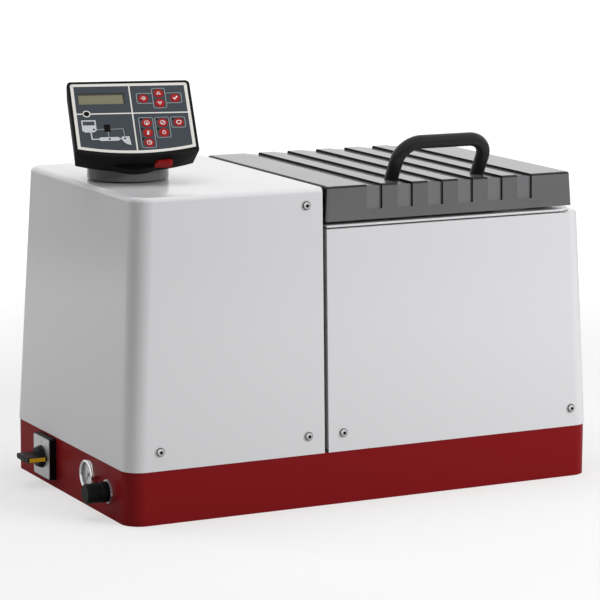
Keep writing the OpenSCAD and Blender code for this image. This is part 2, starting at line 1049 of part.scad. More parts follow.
module air_inlet() {
    color(brass)
    on_rear_wall(inlet_x, rear_z)
    difference() {
        union() {
            wall_nuts(inlet_r, inlet_nut_t, lock_nut_t);
            translate([0, 0, -sheet - inlet_in])
                cylinder(r = inlet_r, h = sheet + inlet_in + inlet_out);
        }
        translate([0, 0, inlet_out - inlet_depth])
            cylinder(r = inlet_bore_r, h = inlet_depth + over);
    }
}

// Regulator, gauge and main switch

module regulator_body() {
    body_r = 20;
    depth = 44;
    port_w = 24;
    port_over = 4;
    port_in = 6;
    color(black)
    on_left_wall(knob_y, knob_z)
    difference() {
        union() {
            translate([0, 0, -sheet - depth])
                cylinder(r = body_r, h = depth);
            translate([-port_w/2, -body_r - port_over, port_in - sheet - depth])
                cube([port_w, 2*(body_r + port_over), port_w]);
            translate([0, 0, -sheet - over])
                cylinder(r = neck_r, h = sheet + over + neck_out);
        }
        translate([0, 0, -spindle_in - over])
            cylinder(r = spindle_r + run, h = spindle_in + neck_out + 2*over);
    }
}

module regulator_nut() {
    notch_w = 3;
    notch_d = 1.2;
    color(steel)
    on_left_wall(knob_y, knob_z)
    difference() {
        cylinder(r = nut_r, h = nut_t);
        translate([0, 0, -over])
            cylinder(r = neck_r + run, h = nut_t + 2*over);
        for (a = [0 : 90 : 270])
            rotate([0, 0, a])
            translate([nut_r - notch_d, -notch_w/2, nut_t/2])
            cube([notch_w, notch_w, nut_t]);
    }
}

module regulator_spindle() {
    color(steel)
    on_left_wall(knob_y, knob_z)
    translate([0, 0, -spindle_in])
    cylinder(r = spindle_r, h = spindle_in + knob_out - spindle_short);
}

module regulator_knob() {
    low = neck_out + slip;
    flute_r = 1.3;
    flutes = 18;
    edge = 1.5;
    collar_top = low + 7;
    grip_r = knob_r - 0.8;
    color(black)
    on_left_wall(knob_y, knob_z)
    difference() {
        rotate_extrude()
            polygon([
                [0, low], [knob_r, low], [knob_r, collar_top], [grip_r, collar_top + edge],
                [grip_r, knob_out - edge], [grip_r - edge, knob_out], [0, knob_out]
            ]);
        translate([0, 0, low - over])
            cylinder(r = spindle_r + run, h = knob_out - low - knob_end + over);
        for (i = [0 : flutes - 1])
            rotate([0, 0, i*360/flutes])
            translate([grip_r + flute_r*0.75, 0, collar_top + 2*edge])
            cylinder(r = flute_r, h = knob_out);
    }
}

module gauge_case() {
    body_depth = 26;
    stem_r = 6;
    stem_len = 14;
    edge = 2;
    floor_z = gauge_out - dial_depth;
    color(steel)
    on_left_wall(gauge_y, gauge_z) {
        difference() {
            union() {
                rotate_extrude()
                    polygon([
                        [0, 0], [gauge_r, 0], [gauge_r, gauge_out - edge], [gauge_r - edge/2, gauge_out],
                        [0, gauge_out]
                    ]);
                translate([0, 0, -body_depth])
                    cylinder(r = case_r, h = body_depth + over);
                translate([0, 0, -body_depth - stem_len])
                    cylinder(r = stem_r, h = stem_len + over);
            }
            translate([0, 0, floor_z])
                cylinder(r = case_r, h = dial_depth + over);
        }
        translate([0, 0, floor_z - over])
            cylinder(r = pointer_pin_r, h = over + pointer_pin_h);
    }
}

module gauge_pointer() {
    needle = case_r - 5;
    tail = 5;
    tail_w = 2;
    tip_w = 0.7;
    needle_t = 0.8;
    cap_r = 2.4;
    rest_turn = 135;
    color(black)
    on_left_wall(gauge_y, gauge_z)
    translate([0, 0, gauge_out - dial_depth + pointer_gap])
    rotate([0, 0, rest_turn])
    difference() {
        union() {
            linear_extrude(needle_t)
                polygon([[-tail, -tail_w/2], [needle, -tip_w/2], [needle, tip_w/2], [-tail, tail_w/2]]);
            cylinder(r = cap_r, h = 2*needle_t);
        }
        translate([0, 0, -over])
            cylinder(r = pointer_pin_r + run, h = pointer_pin_h + over);
    }
}

module gauge_glass() {
    color([0.85, 0.90, 0.92, 0.4])
    on_left_wall(gauge_y, gauge_z)
    translate([0, 0, gauge_out - glass_t - glass_in])
    cylinder(r = case_r - run, h = glass_t);
}

module switch_body() {
    size = 50;
    depth = 56;
    color(black)
    on_left_wall(switch_y, switch_z)
    difference() {
        translate([-size/2, -size/2, -sheet - depth])
            cube([size, size, depth]);
        translate([0, 0, -switch_in - over])
            cylinder(r = switch_shaft_r + run, h = switch_in + over);
    }
}

module switch_frame() {
    color(black)
    on_left_wall(switch_y, switch_z)
    linear_extrude(switch_t)
    difference() {
        rounded_rect(switch_size, switch_size, frame_r);
        circle(shaft_hole_r);
    }
}

module switch_plate() {
    color(steel)
    on_left_wall(switch_y, switch_z)
    translate([0, 0, switch_t])
    linear_extrude(plate_t)
    difference() {
        rounded_rect(switch_size - 2*plate_in, switch_size - 2*plate_in, frame_r - plate_in/2);
        circle(shaft_hole_r);
    }
}

// The padlock slide's block, grown by a clearance
module slide_block(extra) {
    middle = (grip_low + grip_out)/2;
    translate([-slide_t/2 - extra, -grip_len/2 - slide_proud, middle - slide_l/2 - extra])
    cube([slide_t + 2*extra, slide_d + slide_proud + extra, slide_l + 2*extra]);
}

module switch_handle() {
    color(black)
    on_left_wall(switch_y, switch_z)
    difference() {
        union() {
            translate([0, 0, -switch_in])
                cylinder(r = switch_shaft_r, h = switch_in + grip_low + over);
            translate([0, 0, grip_low])
                rotate_extrude()
                polygon([[0, 0], [hub_foot_r, 0], [hub_r, hub_t], [0, hub_t]]);
            translate([0, 0, grip_low])
                linear_extrude(grip_out - grip_low)
                rounded_rect(grip_t, grip_len, grip_t/2 - 0.5);
        }
        slide_block(slip);
    }
}

module padlock_slide() {
    color([0.93, 0.72, 0.08])
    on_left_wall(switch_y, switch_z)
    difference() {
        slide_block(0);
        translate([0, lock_hole_in - grip_len/2, (grip_low + grip_out)/2])
            rotate([0, 90, 0])
            cylinder(r = lock_hole_r, h = 2*grip_t, center = true);
    }
}

// Lid and hinges

module lid_slice(z, inset) {
    lean = tan(lid_draft)*(z - lid_z);
    x0 = lid_x + lean + inset;
    x1 = lid_x + lid_len - lean - inset;
    y0 = -half_y(z) + inset;
    y1 = half_y(z) - lid_rear_gap - inset;
    translate([(x0 + x1)/2, (y0 + y1)/2, z])
    linear_extrude(thin)
    rounded_rect(x1 - x0, y1 - y0, lid_corner, $fn = 32);
}

module lid_block() {
    hull() {
        lid_slice(lid_z, 0);
        for (a = [0 : 30 : 90])
            lid_slice(body_h - lid_edge*(1 - sin(a)) - thin, lid_edge*(1 - cos(a)));
    }
}

module lid_hollow() {
    hull() {
        lid_slice(lid_z - over, lid_wall);
        lid_slice(body_h - lid_top - thin, lid_wall);
    }
}

// A ramped recess: it starts with a fine edge, deepens to the right and ends in an upright step
function ramp_profile(x) = [[x - ramp_w, ramp_start], [x, ramp_d], [x, -over], [x - ramp_w, -over]];

module ramp(x) {
    translate([0, base_wid, body_h])
        rotate([90, 0, 0])
        linear_extrude(2*base_wid)
        mirror([0, 1])
        polygon(ramp_profile(x));
    on_front(0, body_h - ramp_drop)
        rotate([-90, 0, 0])
        linear_extrude(lid_h)
        polygon(ramp_profile(x + ramp_shift));
}

module handle_tube(r) {
    difference() {
        translate([handle_x, handle_y, body_h])
            rotate([handle_lean, 0, 0]) {
                for (s = [-1, 1])
                    translate([s*handle_span/2, 0, -handle_reach/2])
                    cylinder(r = r, h = 1.5*handle_reach - handle_bend);
                for (turn = [0, 1])
                    mirror([turn, 0, 0])
                    translate([handle_span/2 - handle_bend, 0, handle_reach - handle_bend])
                    rotate([90, 0, 0])
                    rotate_extrude(angle = 90)
                    translate([handle_bend, 0])
                    circle(r);
                translate([handle_bend - handle_span/2, 0, handle_reach])
                    rotate([0, 90, 0])
                    cylinder(r = r, h = handle_span - 2*handle_bend);
            }
        translate([lid_x, -base_wid, body_h - handle_seat - base_wid])
            cube([lid_len, 2*base_wid, base_wid]);
    }
}

module lid_shell() {
    color(lid_grey)
    difference() {
        lid_block();
        lid_hollow();
        for (i = [0 : ramp_count - 1])
            ramp(ramp_first + i*ramp_pitch);
        handle_tube(handle_r + run);
    }
}

module lid_handle() {
    color(black)
    handle_tube(handle_r);
}

module lid_liner() {
    rim_low = liner_z;
    rim_top = body_h - lid_top;
    color(steel)
    difference() {
        intersection() {
            hull() {
                lid_slice(lid_z - over, lid_wall + slip);
                lid_slice(body_h - lid_top - thin, lid_wall + slip);
            }
            translate([lid_x, -base_wid, rim_low])
                cube([lid_len, 2*base_wid, rim_top - rim_low]);
        }
        hull() {
            lid_slice(liner_z + liner_t, lid_wall + slip + liner_t);
            lid_slice(body_h, lid_wall + slip + liner_t);
        }
    }
}

module lid_gasket() {
    middle = collar_t/2;
    color([0.55, 0.22, 0.16])
    translate([0, 0, gasket_z])
    linear_extrude(gasket_h)
    difference() {
        mouth(middle + gasket_w/2);
        mouth(middle - gasket_w/2);
    }
}

module knuckle(x0, x1) {
    along_x(x0, hinge_y, hinge_z)
    cylinder(r = knuckle_r, h = x1 - x0);
}

module hinge_bore(x) {
    along_x(x - hinge_w, hinge_y, hinge_z)
    cylinder(r = hinge_pin_r + run, h = 2*hinge_w);
}

module hinge_brackets() {
    leaf_top = (hinge_z - knuckle_r - 1 - hinge_low)/cos(face_draft);
    tab_top = (hinge_z - knuckle_r/2 - hinge_low)/cos(face_draft);
    ear = (hinge_w - knuckle_w)/2 - slip;
    outer = hinge_w/2 - knuckle_edge;
    inner = hinge_w/2 - ear + knuckle_edge;
    color(steel)
    for (x = hinge_xs)
        difference() {
            union() {
                on_rear(x, hinge_low)
                    linear_extrude(leaf_t)
                    polygon([
                        [-outer, 0], [outer, 0], [outer, tab_top], [inner, tab_top],
                        [inner, leaf_top], [-inner, leaf_top], [-inner, tab_top], [-outer, tab_top]
                    ]);
                knuckle(x - hinge_w/2, x - hinge_w/2 + ear);
                knuckle(x + hinge_w/2 - ear, x + hinge_w/2);
            }
            hinge_bore(x);
        }
}

module hinge_arms() {
    web_z = hinge_z + knuckle_r/2;
    web_t = knuckle_r/2 - slip;
    web_w = knuckle_w - 2*knuckle_edge;
    lid_rear = half_y(web_z) - lid_rear_gap;
    color(steel)
    for (x = hinge_xs)
        difference() {
            union() {
                on_rear(x, web_z)
                    translate([-web_w/2, 0, -lid_rear_gap])
                    cube([web_w, leaf_h, leaf_t]);
                translate([x - web_w/2 + over, lid_rear + leaf_t/2, web_z + slip/2])
                    cube([web_w - 2*over, hinge_y - lid_rear - leaf_t/2, web_t]);
                knuckle(x - knuckle_w/2, x + knuckle_w/2);
            }
            hinge_bore(x);
        }
}

module hinge_pins() {
    color(steel)
    for (x = hinge_xs)
        along_x(x - hinge_w/2, hinge_y, hinge_z)
        cylinder(r = hinge_pin_r, h = hinge_w);
}

// Control head

module swivel_frame() {
    translate([swivel_x, swivel_y, 0])
    rotate([0, 0, head_yaw])
    children();
}

// Local x to the head's right, y up its face, z out of the face
module head_frame() {
    swivel_frame()
    translate([0, -face_reach, face_z])
    rotate([90 - face_tilt, 0, 0])
    children();
}

module swivel_bush() {
    color(brass)
    translate([swivel_x, swivel_y, 0])
    rotate_extrude()
    polygon([
        [spigot_r, body_h - sheet - bush_len], [bush_r, body_h - sheet - bush_len], [bush_r, body_h],
        [flange_r, body_h], [flange_r, body_h + bush_flange], [spigot_r, body_h + bush_flange]
    ]);
}

module turntable() {
    top = drum_z + drum_h;
    cable_r = spigot_r - 6;
    spigot_low = body_h - sheet - bush_len - spigot_over;
    hub = spigot_r + 6;
    edge = 3;
    color(black)
    swivel_frame() {
        rotate_extrude()
            polygon(concat([
                [cable_r, spigot_low], [spigot_r - run, spigot_low], [spigot_r - run, drum_z], [hub, drum_z],
                [hub, top - drum_wall], [drum_r - drum_wall, top - drum_wall], [drum_r - drum_wall, drum_z],
                [drum_r, drum_z]
            ], [
                for (a = [0 : 30 : 90])
                    [drum_r - edge*(1 - cos(a)), top - edge*(1 - sin(a))]
            ], [[cable_r, top]]));
        for (x = [-arm_w/2 - slip - ear_t, arm_w/2 + slip])
            difference() {
                translate([x, pivot_back, 0])
                    rotate([90, 0, 90])
                    linear_extrude(ear_t) {
                        translate([0, pivot_z])
                            circle(ear_r);
                        translate([over - ear_r, top - drum_wall/2])
                            square([2*(ear_r - over), pivot_z - top + drum_wall/2]);
                    }
                pivot_bore();
            }
    }
}

// The tilt axis' bore, across the swivel's frame
module pivot_bore() {
    along_x(-arm_w, pivot_back, pivot_z)
    cylinder(r = pin_r + run, h = 2*arm_w);
}

module tilt_pin() {
    pin_len = arm_w + 2*slip + 2*ear_t;
    color(steel)
    swivel_frame()
    along_x(-pin_len/2, pivot_back, pivot_z)
    cylinder(r = pin_r, h = pin_len);
}

// Points along a bowed lower edge, left to right
function bowed_edge(width, level, bow, steps) =
    let (r = (width*width/4 + bow*bow)/(2*bow), half = asin(width/2/r))
    [for (i = [0 : steps])
        let (a = half*(2*i/steps - 1)) [r*sin(a), level - bow + r*(1 - cos(a))]];

// Points round a corner of the outline, from a starting angle
function corner_arc(x, y, r, start) =
    [for (a = [start : 15 : start + 90]) [x + r*cos(a), y + r*sin(a)]];

module head_outline(bow, inset, taper = 0) {
    half = face_w/2 - inset - taper;
    top = face_h/2 - inset;
    r = max(head_corner - inset, 1);
    polygon(concat(
        bowed_edge(2*half, -top, bow, 20),
        corner_arc(half - r, top - r, r, 0),
        corner_arc(r - half, top - r, r, 90)
    ));
}

module head_slice(n, bow, inset, taper = 0) {
    translate([0, 0, n])
    linear_extrude(thin)
    head_outline(bow, inset, taper);
}

module head_shell() {
    color(black)
    head_frame()
    difference() {
        union() {
            hull() {
                head_slice(-bezel_t - thin, face_bow, 0);
                head_slice(-head_depth, rear_bow, 0, head_taper);
            }
            translate([0, 0, lobe_in - head_depth])
                linear_extrude(lobe_t)
                intersection() {
                    translate([0, lobe_r - lobe_drop])
                        circle(lobe_r);
                    translate([-lobe_w/2, -lobe_drop - over])
                        square([lobe_w, lobe_drop - face_h/2 + lobe_over]);
                }
            hull() {
                translate([-arm_w/2, arm_low, shell_t/2 - head_depth])
                    cube([arm_w, arm_high - arm_low, thin]);
                translate([-arm_w/2, pivot_v, pivot_n])
                    rotate([0, 90, 0])
                    cylinder(r = barrel_r, h = arm_w, $fn = 32);
            }
        }
        hull() {
            head_slice(slip - bezel_t, face_bow, shell_t);
            head_slice(shell_t - head_depth, rear_bow, shell_t, head_taper);
        }
        translate([-arm_w, pivot_v, pivot_n])
            rotate([0, 90, 0])
            cylinder(r = pin_r + run, h = 2*arm_w);
        translate([button_u, button_v + button_d/2, button_n])
            rotate([90, 0, 0])
            linear_extrude(2*button_d)
            rounded_rect(button_w + 2*slip, button_d + 2*slip, button_r + slip);
    }
}

module key_places() {
    for (place = key_table)
        translate([place[0], place[1], 0])
        children();
}

module head_bezel() {
    color(black)
    head_frame()
    difference() {
        translate([0, 0, -bezel_t])
            linear_extrude(bezel_t)
            head_outline(face_bow, 0);
        translate([0, 0, -overlay_t])
            linear_extrude(over + overlay_t)
            head_outline(face_bow, overlay_margin);
        translate([window_u - window_w/2, window_v - window_h/2, -bezel_t - over])
            cube([window_w, window_h, bezel_t + 2*over]);
        key_places()
            translate([0, 0, -bezel_t - over])
            cylinder(r = key_r + slip, h = bezel_t + 2*over);
    }
}

module keypad_overlay() {
    color([0.30, 0.33, 0.36])
    head_frame()
    translate([0, 0, -overlay_t])
    linear_extrude(overlay_t + slip)
    difference() {
        head_outline(face_bow, overlay_margin + run);
        translate([window_u - window_w/2, window_v - window_h/2])
            square([window_w, window_h]);
        key_places()
            circle(key_r + slip);
    }
}

module display_module() {
    block_over = 6;
    block = [window_w + 2*block_over, window_h + 2*block_over, 10];
    board = [face_w - 28, face_h - 29, board_t];
    lens_in = 0.8;
    color([0.62, 0.64, 0.52])
    head_frame() {
        translate([window_u - window_w/2 + slip, window_v - window_h/2 + slip, -bezel_t - over])
            cube([window_w - 2*slip, window_h - 2*slip, bezel_t + over - lens_in]);
        translate([window_u - block[0]/2, window_v - block[1]/2, -bezel_t - block[2]])
            cube(block);
        translate([-board[0]/2, -board[1]/2, -bezel_t - block[2] - board[2]])
            cube(board);
    }
}

module release_button() {
    lip = 2;
    lip_in = 2.2;
    lip_v = -face_h/2 - lip_in;
    length = lip_v + lip - button_v + button_out;
    color(key_red)
    head_frame()
    translate([button_u, lip_v + lip, button_n])
    rotate([90, 0, 0]) {
        linear_extrude(length)
            rounded_rect(button_w, button_d, button_r);
        linear_extrude(lip)
            rounded_rect(button_w + 3*lip, button_d + 2*lip, button_r);
    }
}

module key(i) {
    dome = 0.5;
    rim = 0.2;
    rim_w = 0.6;
    color(key_red)
    head_frame()
    translate([key_table[i][0], key_table[i][1], key_proud - key_h])
    rotate_extrude()
    polygon([
        [0, 0], [key_r, 0], [key_r, key_h - dome - rim], [key_r - rim_w, key_h - dome],
        [key_r*0.6, key_h - rim/2], [0, key_h]
    ]);
}

module key_back() { key(0); }
module key_up() { key(1); }
module key_down() { key(2); }
module key_confirm() { key(3); }
module key_heat() { key(4); }
module key_temperature() { key(5); }
module key_timer() { key(6); }
module key_standby() { key(7); }
module key_hand() { key(8); }
module key_cycle() { key(9); }

base_tray();
chassis_plate();
partition_wall();
cabinet_cover();
front_panel();
end_panel();
top_deck();
cover_screws();
tank();
tank_insulation();
strainer();
manifold();
manifold_standoffs();
filter_cartridge();
heater_cartridges();
hose_outlets();
hose_sockets();
air_cylinder();
pump_piston();
power_supply();
control_board();
cable_gland();
air_inlet();
regulator_body();
regulator_nut();
regulator_spindle();
regulator_knob();
gauge_case();
gauge_pointer();
gauge_glass();
switch_body();
switch_frame();
switch_plate();
switch_handle();
padlock_slide();
hinge_brackets();
hinge_pins();
hinge_arms();
lid_shell();
lid_liner();
lid_gasket();
lid_handle();
swivel_bush();
turntable();
tilt_pin();
head_shell();
head_bezel();
keypad_overlay();
display_module();
release_button();
key_back();
key_up();
key_down();
key_confirm();
key_heat();
key_temperature();
key_timer();
key_standby();
key_hand();
key_cycle();
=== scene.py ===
# %% [markdown]
# # A hot melt glue unit
# This machine melts blocks of glue in a heated tank and pumps the melt through hoses to a gluing head. Its housing is
# folded sheet metal on a red base. The tank's lid is dark plastic, and a small control head stands on the cabinet.
# The shapes come from a CAD model. This lesson gives them finishes, prints, light and a camera.

import json
import math

import bpy
from mathutils import Matrix, Vector


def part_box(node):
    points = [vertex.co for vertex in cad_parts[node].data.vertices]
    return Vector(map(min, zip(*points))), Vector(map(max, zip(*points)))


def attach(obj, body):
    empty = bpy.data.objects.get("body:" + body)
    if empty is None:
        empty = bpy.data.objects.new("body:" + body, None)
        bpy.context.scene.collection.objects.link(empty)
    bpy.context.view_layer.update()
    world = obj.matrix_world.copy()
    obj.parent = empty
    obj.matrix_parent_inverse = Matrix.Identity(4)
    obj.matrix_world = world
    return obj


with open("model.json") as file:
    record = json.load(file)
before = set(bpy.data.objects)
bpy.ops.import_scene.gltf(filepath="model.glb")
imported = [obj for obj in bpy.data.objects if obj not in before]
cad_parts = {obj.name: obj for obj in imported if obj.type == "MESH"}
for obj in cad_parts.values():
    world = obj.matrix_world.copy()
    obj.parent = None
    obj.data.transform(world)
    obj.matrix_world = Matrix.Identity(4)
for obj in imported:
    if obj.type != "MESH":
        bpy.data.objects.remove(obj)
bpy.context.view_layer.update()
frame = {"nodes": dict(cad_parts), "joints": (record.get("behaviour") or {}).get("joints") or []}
nodes = frame["nodes"]
joints = {joint["name"]: joint for joint in frame["joints"]}
MM = 0.001


def add_object(name, data):
    thing = bpy.data.objects.new(name, data)
    bpy.context.scene.collection.objects.link(thing)
    return thing


print("pieces from the CAD model:", len(nodes), "joints:", len(joints))

# %% [markdown]
# ## Writing finishes as sums
# Blender's shaders are graphs of nodes. Placing each node and link by hand is slow to read, so a small class wraps a
# socket and turns plus, minus and times into Math nodes. One method adds any other node. A finish is a material whose
# shader sockets are set by plain words.

# %% A socket that can be added and multiplied
class Signal:
    """An output socket that can stand in a sum."""

    def __init__(self, recipe, socket):
        self.recipe = recipe
        self.socket = socket

    def math(self, operation, first, second):
        return self.recipe.node("ShaderNodeMath", {"operation": operation}, {0: first, 1: second})

    def __add__(self, other):
        return self.math("ADD", self, other)

    def __radd__(self, other):
        return self.math("ADD", other, self)

    def __sub__(self, other):
        return self.math("SUBTRACT", self, other)

    def __rsub__(self, other):
        return self.math("SUBTRACT", other, self)

    def __mul__(self, other):
        return self.math("MULTIPLY", self, other)

    def __rmul__(self, other):
        return self.math("MULTIPLY", other, self)


class Recipe:
    """A node tree that is filled node by node."""

    def __init__(self, tree):
        self.tree = tree

    def plug(self, socket, value):
        if isinstance(value, Signal):
            self.tree.links.new(value.socket, socket)
        elif socket.type == "RGBA":
            socket.default_value = (*value[:3], 1)
        else:
            socket.default_value = value

    def node(self, kind, settings=None, inputs=None, output=0):
        node = self.tree.nodes.new(kind)
        for name, value in (settings or {}).items():
            setattr(node, name, value)
        for name, value in (inputs or {}).items():
            self.plug(node.inputs[name], value)
        return Signal(self, node.outputs[output])


SOCKETS = {
    "colour": "Base Color",
    "roughness": "Roughness",
    "metallic": "Metallic",
    "shine": "Specular IOR Level",
    "clear": "Transmission Weight",
    "bending": "IOR",
}


class Finish(Recipe):
    """A material with one Principled shader."""

    def __init__(self, name, **surface):
        self.material = bpy.data.materials.new(name)
        self.material.use_nodes = True
        super().__init__(self.material.node_tree)
        self.shader = self.tree.nodes["Principled BSDF"]
        for word, value in surface.items():
            self.set(SOCKETS[word], value)

    def set(self, name, value):
        self.plug(self.shader.inputs[name], value)

    def place(self):
        return self.node("ShaderNodeTexCoord", output="Object")

    def noise(self, size, detail=2.0, stretch=(1, 1, 1)):
        place = self.node("ShaderNodeMapping", inputs={"Vector": self.place(), "Scale": stretch})
        return self.node("ShaderNodeTexNoise", inputs={"Vector": place, "Scale": 1/size, "Detail": detail})

    def grain(self, height, depth):
        bump = self.node("ShaderNodeBump", inputs={"Height": height, "Strength": 1.0, "Distance": depth})
        self.set("Normal", bump)


print("shader helpers:", Signal.__name__, Recipe.__name__, Finish.__name__)

# %% [markdown]
# ## Powder coat
# The covers and the base are steel sheet with a baked powder coat. Powder melts into a skin that is even in colour
# and faintly wavy, like orange peel. A flat grey would look like paper, so a fine noise waves the normal, and a wide
# one lets the gloss drift a little. The covers are glossy enough to mirror the drum that stands on them.

# %% Coats of the housing
DRIFT_SIZE = 90*MM
PEEL_SIZE = 2.2*MM
PEEL_DRIFT = 0.08


def skin(name, colour, roughness, drift, grain_size, grain_depth, shine):
    """A finish whose roughness drifts over a hand's width, with a fine grain."""
    finish = Finish(name, colour=colour, shine=shine)
    finish.set("Roughness", roughness + drift*(finish.noise(DRIFT_SIZE) - 0.5))
    finish.grain(finish.noise(grain_size, detail=1.0), grain_depth)
    return finish


def powder_coat(name, colour, roughness, peel, shine=0.5):
    return skin(name, colour, roughness, PEEL_DRIFT, PEEL_SIZE, peel, shine)


cover_coat = powder_coat("light grey powder coat", (0.68, 0.68, 0.695), 0.14, 0.003*MM)
base_coat = powder_coat("red powder coat", (0.215, 0.010, 0.012), 0.30, 0.010*MM, shine=0.035)
sheet_coat = powder_coat("black sheet coat", (0.012, 0.012, 0.012), 0.55, 0.008*MM)
print("powder coats:", cover_coat.material.name, base_coat.material.name, sheet_coat.material.name)

# %% [markdown]
# ## Plastics
# The lid is a thick moulding with a satin skin. The control head, the switch and the knob are a dull black, the
# handle is a glossier one, and the drum under the head is dark grey. Moulds are etched, which leaves a grain finer
# than orange peel. The keys and the padlock slide are smooth.

# %% Moulded plastics
ETCH_SIZE = 0.9*MM
ETCH_DRIFT = 0.10


def moulded(name, colour, roughness, etch, shine):
    return skin(name, colour, roughness, ETCH_DRIFT, ETCH_SIZE, etch, shine)


lid_skin = moulded("dark grey satin moulding", (0.118, 0.118, 0.122), 0.17, 0.002*MM, shine=0.95)
# Near black used as painted shade on the lid's steps, the screw sockets and grooves, and the gauge's inner wall.
painted_shade_black = Finish("black painted shade", colour=(0.004, 0.004, 0.004), roughness=0.5, shine=0.1)
black_skin = moulded("black moulding", (0.004, 0.004, 0.004), 0.36, 0.006*MM, shine=0.11)
drum_skin = moulded("dark grey moulding", (0.062, 0.062, 0.065), 0.26, 0.004*MM, shine=0.85)
# The lid's grey made darker, as painted shade and a painted dark reflection on the lid's left end and rounded upper
# edges.
painted_shade_lid = moulded("lid grey with painted shade", (0.022, 0.022, 0.023), 0.40, 0.002*MM, shine=0.2)
# The lid's grey made lighter, as painted light on the recess faces that look towards the main lamp.
painted_light_recess = moulded("lid grey with painted light", (0.150, 0.150, 0.155), 0.17, 0.002*MM, shine=0.95)
handle_skin = moulded("black handle", (0.006, 0.006, 0.006), 0.34, 0.010*MM, shine=0.32)
key_skin = Finish("red key", colour=(0.31, 0.010, 0.011), roughness=0.34, shine=0.2)
slide_skin = Finish("yellow slide", colour=(0.95, 0.57, 0.010), roughness=0.36)
film = Finish("slate film", colour=(0.046, 0.055, 0.065), roughness=0.42, shine=0.16)
board_skin = Finish("solder resist", colour=(0.02, 0.11, 0.05), roughness=0.45)
display_skin = Finish("unlit display", colour=(0.190, 0.184, 0.118), roughness=0.30, shine=0.2)
seal_skin = Finish("silicone seal", colour=(0.25, 0.06, 0.035), roughness=0.6)
print("plastics:", lid_skin.material.name, black_skin.material.name, key_skin.material.name)

# %% [markdown]
# ## Metals, felt and glass
# Screws, hinges and the switch plate are bright steel, which is drawn or rolled and so has fine lines. The tank and
# the pump are castings with a coarse skin. Noise that is stretched along one axis gives the drawn lines, and round
# noise gives the cast skin.

# %% Metals and the rest
DRAWN = {"size": 0.6*MM, "stretch": (1, 0.03, 1)}
CAST = {"size": 1.6*MM}
FELT_SIZE = 1.4*MM
METAL_DRIFT = 0.16


def metal(name, colour, roughness, relief=None, depth=0.0):
    finish = Finish(name, colour=colour, roughness=roughness, metallic=1.0)
    if relief:
        lines = finish.noise(**relief)
        finish.set("Roughness", roughness + METAL_DRIFT*(lines - 0.5))
        finish.grain(lines, depth)
    return finish


steel = metal("bright steel", (0.62, 0.62, 0.63), 0.28, DRAWN, 0.004*MM)
plate_steel = metal("satin plate", (0.66, 0.66, 0.67), 0.42, DRAWN, 0.003*MM)
cast_metal = metal("cast aluminium", (0.52, 0.53, 0.54), 0.46, CAST, 0.06*MM)
brass = metal("turned brass", (0.68, 0.47, 0.19), 0.26)
chrome = metal("chrome", (0.80, 0.80, 0.81), 0.07)
felt = Finish("insulation felt", colour=(0.58, 0.52, 0.40), roughness=0.95)
felt.grain(felt.noise(FELT_SIZE, detail=4.0), 0.5*MM)
lens = Finish("gauge glass", colour=(1, 1, 1), roughness=0.02, clear=1.0, bending=1.45)
pointer_paint = Finish("pointer black", colour=(0.010, 0.010, 0.010), roughness=0.5)
print("metals:", steel.material.name, cast_metal.material.name, brass.material.name, chrome.material.name)

# %% [markdown]
# ## Finishes and soft edges on the CAD pieces
# A real edge is never a perfect corner: sheet is sheared and coated, and plastic leaves its mould with a small
# radius. Those edges catch the light. A Bevel modifier rounds every edge sharper than an angle and leaves the curved
# faces, and Weighted Normal keeps the flat faces flat. The base's walls come as many slivers, which would shade
# unevenly, so a Decimate modifier first joins those that lie in one plane. The CAD meshes stay as they are.

# %% Dress the pieces
EDGE_ANGLE = math.radians(32)
EDGE_STEPS = 2
FLAT_ANGLE = math.radians(0.2)
WELD_REACH = 0.002*MM


def dress(finish, edge, *names, join_flat=False):
    """Give pieces a finish and rounded edges. The edge is in millimetres."""
    for name in names:
        piece = nodes[name]
        mesh = piece.data
        mesh.materials.clear()
        mesh.materials.append(finish.material)
        mesh.polygons.foreach_set("use_smooth", [True]*len(mesh.polygons))
        if "custom_normal" in mesh.attributes:
            mesh.attributes.remove(mesh.attributes["custom_normal"])
        weld = piece.modifiers.new("weld", "WELD")
        weld.merge_threshold = WELD_REACH
        if join_flat:
            flat = piece.modifiers.new("whole faces", "DECIMATE")
            flat.decimate_type = "DISSOLVE"
            flat.angle_limit = FLAT_ANGLE
        bevel = piece.modifiers.new("soft edges", "BEVEL")
        bevel.width = edge*MM
        bevel.segments = EDGE_STEPS
        bevel.limit_method = "ANGLE"
        bevel.angle_limit = EDGE_ANGLE
        normals = piece.modifiers.new("flat faces", "WEIGHTED_NORMAL")
        normals.keep_sharp = True
    print(finish.material.name, "on", ", ".join(names))


keys = [name for name in nodes if name.startswith("key_")]
dress(cover_coat, 0.7, "cabinet_cover", "front_panel", "end_panel")
dress(cover_coat, 1.2, "top_deck")
dress(base_coat, 0.7, "base_tray", join_flat=True)
dress(sheet_coat, 0.4, "chassis_plate", "partition_wall")
dress(lid_skin, 0.35, "lid_shell")
dress(handle_skin, 0.6, "lid_handle")
dress(black_skin, 0.9, "head_shell")
dress(drum_skin, 0.9, "turntable")
dress(black_skin, 1.0, "head_bezel", "switch_frame")
dress(black_skin, 0.6, "switch_handle", "regulator_knob", "switch_body", "regulator_body")
dress(black_skin, 0.5, "hose_sockets", "cable_gland")
dress(film, 0.1, "keypad_overlay")
dress(display_skin, 0.1, "display_module")
dress(key_skin, 0.2, *keys)
dress(key_skin, 0.8, "release_button")
dress(slide_skin, 0.5, "padlock_slide")
dress(steel, 0.2, "cover_screws", "regulator_nut", "regulator_spindle", "tilt_pin", "hinge_pins")
dress(steel, 0.4, "hinge_brackets", "hinge_arms", "strainer", "lid_liner", "power_supply")
dress(steel, 0.4, "manifold_standoffs", "heater_cartridges", "pump_piston")
dress(plate_steel, 0.2, "switch_plate")
